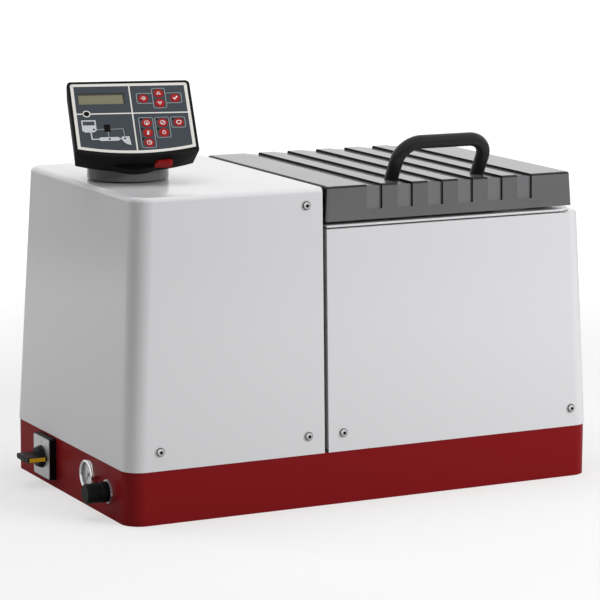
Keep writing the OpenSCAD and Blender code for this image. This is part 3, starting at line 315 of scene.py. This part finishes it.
dress(cast_metal, 1.5, "tank", "manifold", "air_cylinder")
dress(brass, 0.4, "filter_cartridge", "hose_outlets", "air_inlet", "swivel_bush")
dress(felt, 1.0, "tank_insulation")
dress(seal_skin, 1.0, "lid_gasket")
dress(board_skin, 0.2, "control_board")
dress(chrome, 0.6, "gauge_case")
dress(lens, 0.2, "gauge_glass")
dress(pointer_paint, 0.05, "gauge_pointer")

# %% [markdown]
# ## Painted shade and light on the lid
# Each ramped recess of the lid ends in a sharp step that hardly any light reaches, so its faces are painted near
# black as painted shade. Its face looks to the left, so the faces are found by their normal. The recesses' faces on
# the lid's front look slightly to the right, towards the main lamp, and get a lighter copy of the lid's grey as
# painted light. The lid's left end, which lies in the seam, and the rounded upper edges at its front and left get a
# darker copy as painted
# shade: a painted dark reflection, because nothing bright stands where they would mirror it.

# %% Painted shade and light by the way a face looks
STEP_LOOK = 0.9
RAMP_LOOK = 0.03
EDGE_LOOK = 0.25
LID_END = 30*MM

lid = nodes["lid_shell"]
lid_low, lid_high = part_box("lid_shell")
for finish in (painted_shade_black, painted_light_recess, painted_shade_lid):
    lid.data.materials.append(finish.material)
steps, ramps, ends = [], [], []
for face in lid.data.polygons:
    inside = lid_low.x + LID_END < face.center.x < lid_high.x - LID_END
    if face.normal.x < -STEP_LOOK:
        (steps if inside else ends).append(face)
    elif face.normal.y < -STEP_LOOK and face.normal.x > RAMP_LOOK and inside:
        ramps.append(face)
    elif face.normal.z > EDGE_LOOK and (face.normal.y < -EDGE_LOOK or face.normal.x < -EDGE_LOOK):
        ends.append(face)
# Step faces get the near-black painted shade, front recess faces the lighter grey of painted light, and the lid's end
# and upper edges the darker grey of painted shade.
for index, faces in enumerate((steps, ramps, ends), 1):
    for face in faces:
        face.material_index = index
print("step faces:", len(steps), "recess faces:", len(ramps), "end faces:", len(ends))

# %% [markdown]
# ## Sockets of the cover screws
# The covers are held by round-headed screws with a hexagonal socket, each on a washer. The socket and the groove
# between head and washer lie in shade, so their faces are painted near black as painted shade, and they are what the
# eye finds on the plain covers. All the screws are one mesh, so its islands are found first. Each island is round
# about its own middle, and how far a face is from that line tells what it belongs to.

# %% Painted shade in the sockets and round the heads
SOCKET_R = 2.35*MM
HEAD_R = (4.9*MM, 5.4*MM)
WASHER_R = 6.5*MM
SIDE_LOOK = 0.3
WELD_STEP = 1e-6
FRONT_SIDE = 0.15


def islands(mesh):
    """Lists of faces that hang together by their corners."""
    owner = {}

    def root(key):
        while owner[key] != key:
            owner[key] = owner[owner[key]]
            key = owner[key]
        return key

    corners = {}
    for face in mesh.polygons:
        spots = [tuple(round(c/WELD_STEP) for c in mesh.vertices[i].co) for i in face.vertices]
        for spot in spots:
            owner.setdefault(spot, spot)
            owner[root(spot)] = root(spots[0])
        corners[face.index] = spots[0]
    groups = {}
    for face in mesh.polygons:
        groups.setdefault(root(corners[face.index]), []).append(face)
    return list(groups.values())


screws = nodes["cover_screws"].data
screws.materials.append(painted_shade_black.material)
screw_groups = islands(screws)
washers = []
# In each screw, the socket faces and the head's side in the groove get the near-black painted shade.
for group in screw_groups:
    spots = {tuple(screws.vertices[i].co) for face in group for i in face.vertices}
    centre = sum((Vector(spot) for spot in spots), Vector())/len(spots)
    if abs(centre.y) > FRONT_SIDE:
        way = Vector((0, math.copysign(1, centre.y), 0))
    else:
        way = Vector((1, 0, 0))
    arms = [Vector(spot) - centre for spot in spots]
    washer_top = max(arm.dot(way) for arm in arms if (arm - way*arm.dot(way)).length > WASHER_R)
    washers.append((centre + way*washer_top, way))
    for face in group:
        arm = face.center - centre
        along = arm.dot(way)
        reach = (arm - way*along).length
        side_face = abs(face.normal.dot(way)) < SIDE_LOOK
        in_groove = HEAD_R[0] < reach < HEAD_R[1] and side_face
        if along > 0 and (reach < SOCKET_R or in_groove):
            face.material_index = 1
print("screws:", len(screw_groups), "dark faces:", sum(face.material_index for face in screws.polygons))

# %% [markdown]
# ## Flat prints
# The keypad film, the gauge's dial and the switch plate carry screen prints. A picture could give them, but lines
# drawn as thin meshes stay sharp at any distance and need no picture. A print is a list of flat shapes: filled
# outlines, and strokes that follow a path at a constant width.

# %% Shapes on a plane
PRINT_T = 0.06*MM
LEAST_MITRE = 0.4


def circle(x, y, r, count=32):
    return [(x + r*math.cos(i*math.tau/count), y + r*math.sin(i*math.tau/count)) for i in range(count)]


def arc(x, y, r, start, end, count=24):
    turns = [math.radians(start + (end - start)*i/count) for i in range(count + 1)]
    return [(x + r*math.cos(a), y + r*math.sin(a)) for a in turns]


def rounded(x0, y0, x1, y1, r):
    corners = [(x1 - r, y0 + r, -90), (x1 - r, y1 - r, 0), (x0 + r, y1 - r, 90), (x0 + r, y0 + r, 180)]
    return [point for x, y, turn in corners for point in arc(x, y, r, turn, turn + 90, 6)]


def stroke(path, width, closed=False):
    """Quads that follow a path, with mitred corners."""
    points = [Vector(p) for p in path]
    count = len(points)
    edges = []
    for i, point in enumerate(points):
        before = points[i - 1] if closed or i > 0 else None
        after = points[(i + 1) % count] if closed or i < count - 1 else None
        ways = [(point - before).normalized()] if before else []
        ways += [(after - point).normalized()] if after else []
        sides = [Vector((-way.y, way.x)) for way in ways]
        side = (sides[0] + sides[-1]).normalized()
        reach = width/2/max(side.dot(sides[0]), LEAST_MITRE)
        edges.append((tuple(point - side*reach), tuple(point + side*reach)))
    pairs = zip(edges, edges[1:] + edges[:1]) if closed else zip(edges, edges[1:])
    return [[a[0], b[0], b[1], a[1]] for a, b in pairs]


def flat_print(name, shapes, place, finish, body):
    """A thin print from polygons of (x, y), in millimetres, put in place by a function of x and y."""
    points, faces = [], []
    for shape in shapes:
        faces.append(list(range(len(points), len(points) + len(shape))))
        points += [place(*point) for point in shape]
    mesh = bpy.data.meshes.new(name)
    mesh.from_pydata(points, [], faces)
    mesh.materials.append(finish.material)
    piece = add_object(name, mesh)
    ink = piece.modifiers.new("ink", "SOLIDIFY")
    ink.thickness = PRINT_T
    ink.offset = 1.0
    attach(piece, body)
    print(name, "shapes:", len(shapes))


light_ink = Finish("light ink", colour=(0.70, 0.68, 0.64), roughness=0.45)
grey_ink = Finish("grey ink", colour=(0.36, 0.38, 0.39), roughness=0.45)
pale_ink = Finish("pale ink", colour=(0.52, 0.54, 0.56), roughness=0.45)
# Black ink for the prints; the same black is painted shadow in the rings round the screw heads.
black_ink_and_painted_shadow = Finish("black ink and painted shadow", colour=(0.004, 0.004, 0.004), roughness=0.5, shine=0.05)
white_ink = Finish("white ink", colour=(0.80, 0.80, 0.80), roughness=0.40)
shade_ink = Finish("display shade", colour=(0.085, 0.078, 0.056), roughness=0.40, shine=0.2)
print("inks:", light_ink.material.name, grey_ink.material.name, black_ink_and_painted_shadow.material.name)

# %% [markdown]
# ## Painted shadow rings round the screw heads
# A screw head presses its washer flat, and a narrow groove in shadow stays where the two meet. It is thinner than the
# CAD model draws, so a thin black ring of painted shadow lies on each washer, close round the head.

# %% Rings on the washers
SHADOW_RING_R = 5.65
SHADOW_RING_W = 0.9
painted_shadow_rings = []
for spot, way in washers:
    sideways = way.orthogonal().normalized()
    upwards = way.cross(sideways)
    for quad in stroke(circle(0, 0, SHADOW_RING_R), SHADOW_RING_W, closed=True):
        painted_shadow_rings.append([tuple(spot + (sideways*x + upwards*y)*MM) for x, y in quad])
# Black rings of painted shadow on the washers.
flat_print("painted_screw_shadows", painted_shadow_rings, lambda *point: Vector(point), black_ink_and_painted_shadow, "housing")

# %% [markdown]
# ## The head's own frame
# The control head leans back and is turned on its drum, so nothing on it lies along the world's axes. Its joints know
# the way: a key is pressed into the face, and the head tilts about the line across it. A cross product of the two
# gives the way up the face.

# %% Axes of the face
FACE_W = 178.0
FACE_H = 119.0
FACE_BOW = 8.5
FACE_CORNER = 6.0
FILM_MARGIN = 4.0
FILM_TOP = 0.3
KEY_TOP = 0.6
BACK_KEY = (18.5, 29.0)

face_out = -Vector(joints["key_back_press"]["axis"])
face_right = Vector(joints["head_tilt"]["axis"])
face_up = face_out.cross(face_right)
back_key = Vector(joints["key_back_press"]["pos_m"])
face_middle = back_key - (face_right*BACK_KEY[0] + face_up*BACK_KEY[1])*MM


def on_face(x, y, height=FILM_TOP):
    return face_middle + (face_right*x + face_up*y + face_out*height)*MM


def face_place(name):
    """Where a key is on the face, in millimetres."""
    away = Vector(joints[name + "_press"]["pos_m"]) - face_middle
    return away.dot(face_right)/MM, away.dot(face_up)/MM


def face_outline(inset):
    """The face's outline, drawn in from its edge, with the bowed lower edge."""
    half, top = FACE_W/2 - inset, FACE_H/2 - inset
    r = (half*half + FACE_BOW*FACE_BOW)/(2*FACE_BOW)
    spread = math.degrees(math.asin(half/r))
    corner = max(FACE_CORNER - inset, 1.0)
    lower = arc(0, -top - FACE_BOW + r, r, -90 - spread, -90 + spread)
    right = arc(half - corner, top - corner, corner, 0, 90, 6)
    left = arc(corner - half, top - corner, corner, 90, 180, 6)
    return lower + right + left


def face_low(x, inset):
    """How far down the face's lower edge is at a place across it."""
    half = FACE_W/2 - inset
    r = (half*half + FACE_BOW*FACE_BOW)/(2*FACE_BOW)
    return -FACE_H/2 + inset - FACE_BOW + r - math.sqrt(r*r - x*x)


places = {name: face_place(name) for name in keys}
print("keys on the face:", {name: (round(x, 1), round(y, 1)) for name, (x, y) in places.items()})

# %% [markdown]
# ## The keypad's border and groups
# The film has a light border and a cross that parts it into four fields. Fine outlines tie the keys that belong
# together. The border is one stroke along the film's edge, and each outline is a rounded box round its keys.

# %% Border, fields and key groups
BORDER_W = 4.4
CROSS_W = 2.0
CROSS_X = 0.0
CROSS_Y = 4.0
OUTLINE_W = 0.7
OUTLINE_R = 2.6
FILM_RIM = 0.3
OVERLAP = 0.2
KEY_ROOM = (9.4, 8.5)
LAMP_ROOM = (1.5, 0.6)

border_inset = FILM_MARGIN + FILM_RIM + BORDER_W/2
inner = border_inset + BORDER_W/2 - OVERLAP
side = FACE_W/2 - inner
border = stroke(face_outline(border_inset), BORDER_W, closed=True)
border += stroke([(CROSS_X, FACE_H/2 - inner), (CROSS_X, face_low(CROSS_X, inner))], CROSS_W)
border += stroke([(-side, CROSS_Y), (CROSS_X - CROSS_W/2, CROSS_Y)], CROSS_W)
border += stroke([(CROSS_X + CROSS_W/2, CROSS_Y), (side, CROSS_Y)], CROSS_W)
flat_print("keypad_border", border, on_face, light_ink, "head")


def key_box(names, left=0.0, top=0.0):
    """A box round some keys, with room for their lamps at the left and above."""
    xs, ys = zip(*[places[name] for name in names])
    room_x, room_y = KEY_ROOM
    return min(xs) - room_x - left, min(ys) - room_y, max(xs) + room_x, max(ys) + room_y + top


arrows = key_box(["key_up", "key_down"])
wide = key_box(["key_back", "key_confirm"])
low_groups = [["key_heat", "key_temperature", "key_timer"], ["key_standby", "key_hand"], ["key_cycle"]]
outlines = stroke(rounded(*arrows, OUTLINE_R), OUTLINE_W, closed=True)
for group in low_groups:
    box = key_box(group, *LAMP_ROOM)
    outlines += stroke(rounded(*box, OUTLINE_R), OUTLINE_W, closed=True)
half_boxes = [(wide[0], arrows[0], 1), (wide[2], arrows[2], -1)]
for end, start, turn in half_boxes:
    low = arc(end + turn*OUTLINE_R, wide[1] + OUTLINE_R, OUTLINE_R, 270, 270 - turn*90, 6)
    high = arc(end + turn*OUTLINE_R, wide[3] - OUTLINE_R, OUTLINE_R, 90 + turn*90, 90, 6)
    outlines += stroke([(start, wide[1])] + low + high + [(start, wide[3])], OUTLINE_W)
flat_print("key_outlines", outlines, on_face, grey_ink, "head")

# %% [markdown]
# ## The display's shadow
# The display lies under the film's window, so the window's upper edge throws a soft shadow on it. The display's
# corners, measured along the face, say where two thin dark strips go.

# %% Strips along the display's edge
SHADE_H = 2.6
SHADE_W = 1.6
spots = [vertex.co - face_middle for vertex in nodes["display_module"].data.vertices]
display_top = max(spot.dot(face_out) for spot in spots)
pane = [spot for spot in spots if spot.dot(face_out) > display_top - PRINT_T]
across, along = ([spot.dot(way)/MM for spot in pane] for way in (face_right, face_up))
x0, x1, y0, y1 = min(across), max(across), min(along), max(along)
shade = [[(x0, y1 - SHADE_H), (x1, y1 - SHADE_H), (x1, y1), (x0, y1)]]
shade += [[(x1 - SHADE_W, y0), (x1, y0), (x1, y1 - SHADE_H), (x1 - SHADE_W, y1 - SHADE_H)]]
flat_print("display_shade", shade, lambda x, y: on_face(x, y, display_top/MM), shade_ink, "head")
print("display on the face:", [round(c, 1) for c in (x0, y0, x1, y1)])

# %% [markdown]
# ## Signs on the keys
# Each key has a white sign printed on its cap: arrows to step through a list, a tick to confirm, and simple pictures
# for heating, temperature, timer, standby, hand mode and cycle. Each is a few strokes that ride with their key.

# %% Key signs
SIGN_W = 0.8
FINE_W = 0.6
ARROW_W = 1.1
TICK_W = 1.6
signs = {
    "key_back": stroke(arc(0.4, 0, 2.6, -140, 140), SIGN_W) + stroke([(-4.0, 0), (0.2, 0)], SIGN_W)
        + [[(0.2, -1.3), (1.9, 0), (0.2, 1.3)]],
    "key_up": stroke([(-2.7, -1.6), (2.7, -1.6), (0, 2.6)], SIGN_W, closed=True),
    "key_down": stroke([(2.7, 1.6), (-2.7, 1.6), (0, -2.6)], SIGN_W, closed=True),
    "key_confirm": stroke([(-2.8, 0.4), (-0.8, -2.1), (3.2, 2.7)], TICK_W),
    "key_heat": stroke(circle(0, 0, 3.4), SIGN_W, closed=True) + [[(-1.5, -2.0), (1.5, -2.0), (0, 1.9)]],
    "key_temperature": [circle(0, -2.0, 1.5), [(-0.7, -1.2), (0.7, -1.2), (0.7, 3.4), (-0.7, 3.4)]]
        + stroke([(1.8, 0.6), (3.1, 0.6)], FINE_W) + stroke([(1.8, 2.2), (3.1, 2.2)], FINE_W),
    "key_timer": stroke(circle(0, 0, 3.3), SIGN_W, closed=True) + stroke([(0, 2.0), (0, 0), (1.7, 0)], SIGN_W),
    "key_standby": stroke(circle(0, 0, 3.3), SIGN_W, closed=True) + stroke([(-2.2, -2.2), (2.2, 2.2)], SIGN_W),
    "key_hand": stroke([(-2.0, 0.4), (0, 3.4), (2.0, 0.4)], SIGN_W) + stroke(arc(0, -0.6, 2.2, 150, 390), SIGN_W),
    "key_cycle": stroke(arc(0, 0, 3.0, 60, 380), ARROW_W) + [[(2.0, 1.6), (4.3, 1.6), (2.9, 3.6)]],
}
for name, shapes in signs.items():
    x, y = places[name]
    moved = [[(x + px, y + py) for px, py in shape] for shape in shapes]
    flat_print("sign_" + name, moved, lambda px, py: on_face(px, py, KEY_TOP), white_ink, name)

# %% [markdown]
# ## Lamps and the flow picture
# A small lamp sits at the upper left of each lower key. The lower left field shows how the melt flows: from a tank
# through a hose to a nozzle, with a lamp at each. The picture here is a plain one of blocks and lines.

# %% Lamps, ringed lamp and flow picture
LAMP_R = 1.7
LAMP_AWAY = (-7.9, 6.3)
RING_LAMP = (-66.0, 4.2)
RING_LAMP_R = 4.0
RING_LAMP_EDGE = (4.8, 1.8)
FLOW_LAMPS = [(-58.4, -22.5), (-37.6, -38.9), (-15.6, -38.4)]
FLOW_LAMP_R = 1.5
PIPE_W = 1.8
WIRE_W = 0.7

lamps = []
for group in low_groups:
    for name in group:
        x, y = places[name]
        lamps.append(circle(x + LAMP_AWAY[0], y + LAMP_AWAY[1], LAMP_R, count=16))
lamps.append(circle(*RING_LAMP, RING_LAMP_R))
lamps.append(rounded(-43.5, -26.8, -34.6, -14.5, 0.6))
lamps += [circle(x, y, FLOW_LAMP_R, count=20) for x, y in FLOW_LAMPS]
ring_r, ring_w = RING_LAMP_EDGE
ring = stroke(circle(*RING_LAMP, ring_r), ring_w, closed=True)
tank_block = [[(-75, -24.2), (-71, -27.2), (-58.5, -27.2), (-54.5, -24.2), (-54.5, -6.6), (-75, -6.6)]]
tank_level = [[(-73.2, -15.2), (-56.4, -15.2), (-56.4, -8.7), (-73.2, -8.7)]]
hose = [rounded(-52.5, -42.0, -23.0, -35.8, 3.0)]
nozzle = [[(-20, -40.5), (-17.5, -44.5), (-13.5, -48), (-7.5, -50), (-9, -35), (-20, -35.5)]]
pipes = stroke([(-63, -27), (-62.6, -38.9), (-52.5, -38.9)], PIPE_W)
pipes += stroke([(-23, -38.9), (-20, -38.5)], PIPE_W)
wires = stroke([(-54.5, -22.5), (-43.5, -22.5)], WIRE_W)
wires += stroke([(-34.6, -22.5), (-16.5, -22), (-15.5, -35.3)], WIRE_W)
wires += stroke([(-38.5, -26.8), (-38.5, -35.8)], WIRE_W)
flat_print("lamp_ring", ring, on_face, light_ink, "head")
flat_print("flow_picture", tank_block + hose + nozzle + pipes, on_face, pale_ink, "head")
flat_print("flow_wires", wires, on_face, grey_ink, "head")


def above_ink(x, y):
    return on_face(x, y, FILM_TOP + PRINT_T/MM)


flat_print("keypad_lamps", lamps, above_ink, black_ink_and_painted_shadow, "head")
flat_print("tank_level", tank_level, above_ink, film, "head")

# %% [markdown]
# ## The gauge's dial
# A pressure gauge has a white dial with a scale over three quarters of a turn, from the lower left clockwise to the
# lower right. The joint of the pointer gives the dial's middle. Text objects give the numbers, and their outlines are
# turned into one flat mesh with the ticks.

# %% Dial, ticks and numbers
DIAL_R = 18.5
SCALE_START = 225.0
SCALE_TURN = 270.0
SCALE_STEPS = 20
SCALE_R = 16.4
LONG_TICK = {"start": 13.6, "width": 0.6}
SHORT_TICK = {"start": 15.0, "width": 0.3}
NUMBER_R = 10.6
NUMBER_SIZE = 3.6
NUMBERED = 4
gauge_middle = Vector(joints["gauge_turn"]["pos_m"])


def on_dial(x, y, height=0.0):
    return gauge_middle + Vector((-height, -x, y))*MM


def digits(words, x, y, size):
    """The outlines of a short number, as filled polygons."""
    font = bpy.data.curves.new("number", "FONT")
    font.body = words
    font.size = size
    font.align_x = "CENTER"
    font.align_y = "CENTER"
    holder = bpy.data.objects.new("number", font)
    mesh = holder.to_mesh()
    polygons = [[(mesh.vertices[i].co.x + x, mesh.vertices[i].co.y + y) for i in p.vertices] for p in mesh.polygons]
    holder.to_mesh_clear()
    bpy.data.objects.remove(holder)
    bpy.data.curves.remove(font)
    return polygons


scale = stroke(arc(0, 0, SCALE_R, SCALE_START, SCALE_START - SCALE_TURN, count=48), SHORT_TICK["width"])
for step in range(SCALE_STEPS + 1):
    turn = math.radians(SCALE_START - SCALE_TURN*step/SCALE_STEPS)
    spoke = Vector((math.cos(turn), math.sin(turn)))
    numbered = step % NUMBERED == 0
    tick = LONG_TICK if numbered else SHORT_TICK
    scale += stroke([spoke*tick["start"], spoke*SCALE_R], tick["width"])
    if numbered:
        scale += digits(str(step//2), *(spoke*NUMBER_R), NUMBER_SIZE)
flat_print("gauge_dial", [circle(0, 0, DIAL_R, count=64)], on_dial, white_ink, "housing")
flat_print("gauge_scale", scale, lambda x, y: on_dial(x, y, PRINT_T/MM), black_ink_and_painted_shadow, "housing")

# %% [markdown]
# ## The gauge's rim
# The wall between the dial and the glass lies in shadow inside the case, so its faces are painted black as painted
# shade. Its faces look towards the pointer's axis. Outside the glass lies a polished bead, a ring with a round
# section.

# %% Black painted shade on the gauge's inner wall
LINING_LOOK = 0.9
gauge_mesh = nodes["gauge_case"].data
gauge_mesh.materials.append(painted_shade_black.material)
gauge_axis = Vector(joints["gauge_turn"]["axis"]).normalized()
painted_shade_faces = []
# Faces that look towards the pointer's axis get the near-black painted shade.
for face in gauge_mesh.polygons:
    arm = face.center - gauge_middle
    spoke = (arm - gauge_axis*arm.dot(gauge_axis)).normalized()
    if spoke.dot(face.normal) < -LINING_LOOK:
        face.material_index = 1
        painted_shade_faces.append(face)
print("lining faces:", len(painted_shade_faces))

# %% The polished bead round the glass
BEAD_R = 19.9
BEAD_T = 2.1
BEAD_OUT = 6.0
BEAD_STEPS = 96
BEAD_SIDES = 20

points, faces = [], []
for i in range(BEAD_STEPS):
    for j in range(BEAD_SIDES):
        turn, tilt = i*math.tau/BEAD_STEPS, j*math.tau/BEAD_SIDES
        reach = BEAD_R + BEAD_T*math.cos(tilt)
        points.append(on_dial(reach*math.cos(turn), reach*math.sin(turn), BEAD_OUT + BEAD_T*math.sin(tilt)))
        a, b = i*BEAD_SIDES, (i + 1) % BEAD_STEPS*BEAD_SIDES
        k = (j + 1) % BEAD_SIDES
        faces.append([a + j, b + j, b + k, a + k])
bead_mesh = bpy.data.meshes.new("gauge_ring")
bead_mesh.from_pydata(points, [], faces)
bead_mesh.polygons.foreach_set("use_smooth", [True]*len(faces))
bead_mesh.materials.append(chrome.material)
bead = add_object("gauge_ring", bead_mesh)
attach(bead, "housing")
print("bead faces:", len(faces))

# %% [markdown]
# ## Marks on the switch plate
# The plate behind the main switch's handle is satin metal with two marks: a bar for on, above, and a ring for off, at
# the side the grip lies along. Both are generic signs for a switch.

# %% On and off marks
BAR = {"away": 22.5, "half": 2.6, "width": 1.1}
OFF_RING = {"away": 24.0, "r": 2.4, "width": 1.0}
plate_low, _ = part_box("switch_plate")
switch_middle = Vector(joints["main_switch_turn"]["pos_m"])
switch_middle.x = plate_low.x


def on_plate(x, y):
    return switch_middle + Vector((0, -x, y))*MM


marks = stroke([(0, BAR["away"] - BAR["half"]), (0, BAR["away"] + BAR["half"])], BAR["width"])
marks += stroke(circle(-OFF_RING["away"], 0, OFF_RING["r"]), OFF_RING["width"], closed=True)
flat_print("switch_marks", marks, on_plate, black_ink_and_painted_shadow, "housing")

# %% [markdown]
# ## Floor and background
# A product photograph is taken on a white sweep. The floor takes the shadow, and a share of its own white is added
# for the camera, which grows outwards, so that it runs into the background. The world is white to the camera, in
# mirrors and through glass. As a light it is much weaker, so that the lamps can model the shapes.

# %% Floor and background
FLOOR_R = 40.0
FLOOR_STEPS = 64
GLOW_LEVEL = 1.3
NEAR_GLOW = 0.42
FAR_GLOW = 0.85
NEAR, FAR = 0.6, 2.6
DAYLIGHT = 0.20


def seen_straight(recipe):
    """1 for rays from the camera, a mirror or a glass, and 0 for scattered light."""
    path = recipe.node("ShaderNodeLightPath", output="Is Camera Ray")
    rays = path.socket.node.outputs
    mirror = Signal(recipe, rays["Is Glossy Ray"])
    glass = Signal(recipe, rays["Is Transmission Ray"])
    return recipe.node("ShaderNodeClamp", inputs={"Value": path + mirror + glass})


sweep = Finish("pale floor", colour=(0.64, 0.64, 0.64), roughness=0.9)
glow = sweep.node("ShaderNodeEmission", inputs={"Color": (1, 1, 1), "Strength": GLOW_LEVEL})
own = Signal(sweep, sweep.shader.outputs["BSDF"])
away = sweep.node("ShaderNodeVectorMath", {"operation": "LENGTH"}, {0: sweep.place()}, output="Value")
fade = {"Value": away, "From Min": NEAR, "From Max": FAR, "To Min": NEAR_GLOW, "To Max": FAR_GLOW}
share = sweep.node("ShaderNodeMapRange", {"interpolation_type": "SMOOTHSTEP"}, fade)
camera_ray = sweep.node("ShaderNodeLightPath", output="Is Camera Ray")
blend = sweep.node("ShaderNodeMixShader", inputs={0: share*camera_ray, 1: own, 2: glow})
sweep.plug(sweep.tree.nodes["Material Output"].inputs["Surface"], blend)

ground = bpy.data.meshes.new("floor")
rim = [(x, y, 0) for x, y in circle(0, 0, FLOOR_R, count=FLOOR_STEPS)]
ground.from_pydata(rim, [], [list(range(FLOOR_STEPS))])
ground.materials.append(sweep.material)
floor = add_object("floor", ground)

world = bpy.data.worlds.new("studio")
bpy.context.scene.world = world
world.use_nodes = True
sky = Recipe(world.node_tree)
white = sky.node("ShaderNodeBackground", inputs={"Color": (1, 1, 1), "Strength": 1.0})
soft = sky.node("ShaderNodeBackground", inputs={"Color": (1, 1, 1), "Strength": DAYLIGHT})
both = sky.node("ShaderNodeMixShader", inputs={0: seen_straight(sky), 1: soft, 2: white})
sky.plug(world.node_tree.nodes["World Output"].inputs["Surface"], both)
print("floor radius:", FLOOR_R, "daylight:", DAYLIGHT)

# %% [markdown]
# ## Soft lamps
# Wide lamps give soft shadows. The main lamp stands to the front right, because the front is the bright side. One
# overhead lights the covers' tops evenly, and a weak one at the left rear opens the shaded end. The glossy covers
# would mirror the lamps as white patches, so the lamps are kept out of reflections.

# %% Lamps that aim at the part
AIM = Vector((0, 0, 0.25))


def softbox(name, place, width, height, power):
    light = bpy.data.lights.new(name, "AREA")
    light.shape = "RECTANGLE"
    light.size = width
    light.size_y = height
    light.energy = power
    lamp = add_object(name, light)
    lamp.location = place
    lamp.rotation_euler = (AIM - Vector(place)).to_track_quat("-Z", "Y").to_euler()
    lamp.visible_glossy = False


softbox("main lamp", (1.7, -2.3, 1.6), 1.8, 1.4, 70)
softbox("overhead lamp", (0.0, 0.2, 2.6), 2.4, 2.0, 38)
softbox("side lamp", (-2.0, 1.9, 1.0), 1.2, 1.6, 22)

# %% [markdown]
# ## Camera
# The photograph was taken from the front left, a little above, with a long lens. The angles were found by matching
# the housing's straight edges, and a small roll levels the picture as in the photograph.

# %% Camera at the photograph's angle
AZIMUTH = -27.113
ELEVATION = 10.029
ROLL = 0.299
DISTANCE = 4.3183
LENS = 173.12
SENSOR = 36.0
FAR_CLIP = 200.0
TARGET = Vector((-3.26, 0.0, 260.0))*MM

az, el, roll = (math.radians(a) for a in (AZIMUTH, ELEVATION, ROLL))
back = Vector((math.sin(az)*math.cos(el), -math.cos(az)*math.cos(el), math.sin(el)))
level = Vector((math.cos(az), math.sin(az), 0))
upright = back.cross(level)
right = level*math.cos(roll) + upright*math.sin(roll)
above = upright*math.cos(roll) - level*math.sin(roll)
lens_data = bpy.data.cameras.new("camera")
lens_data.lens = LENS
lens_data.sensor_width = SENSOR
lens_data.clip_end = FAR_CLIP
camera = add_object("camera", lens_data)
camera.matrix_world = Matrix((right, above, back)).transposed().to_4x4()
camera.location = TARGET + back*DISTANCE
bpy.context.scene.camera = camera
bpy.context.scene.view_settings.view_transform = "Standard"
print("camera at", [round(c, 3) for c in camera.location])
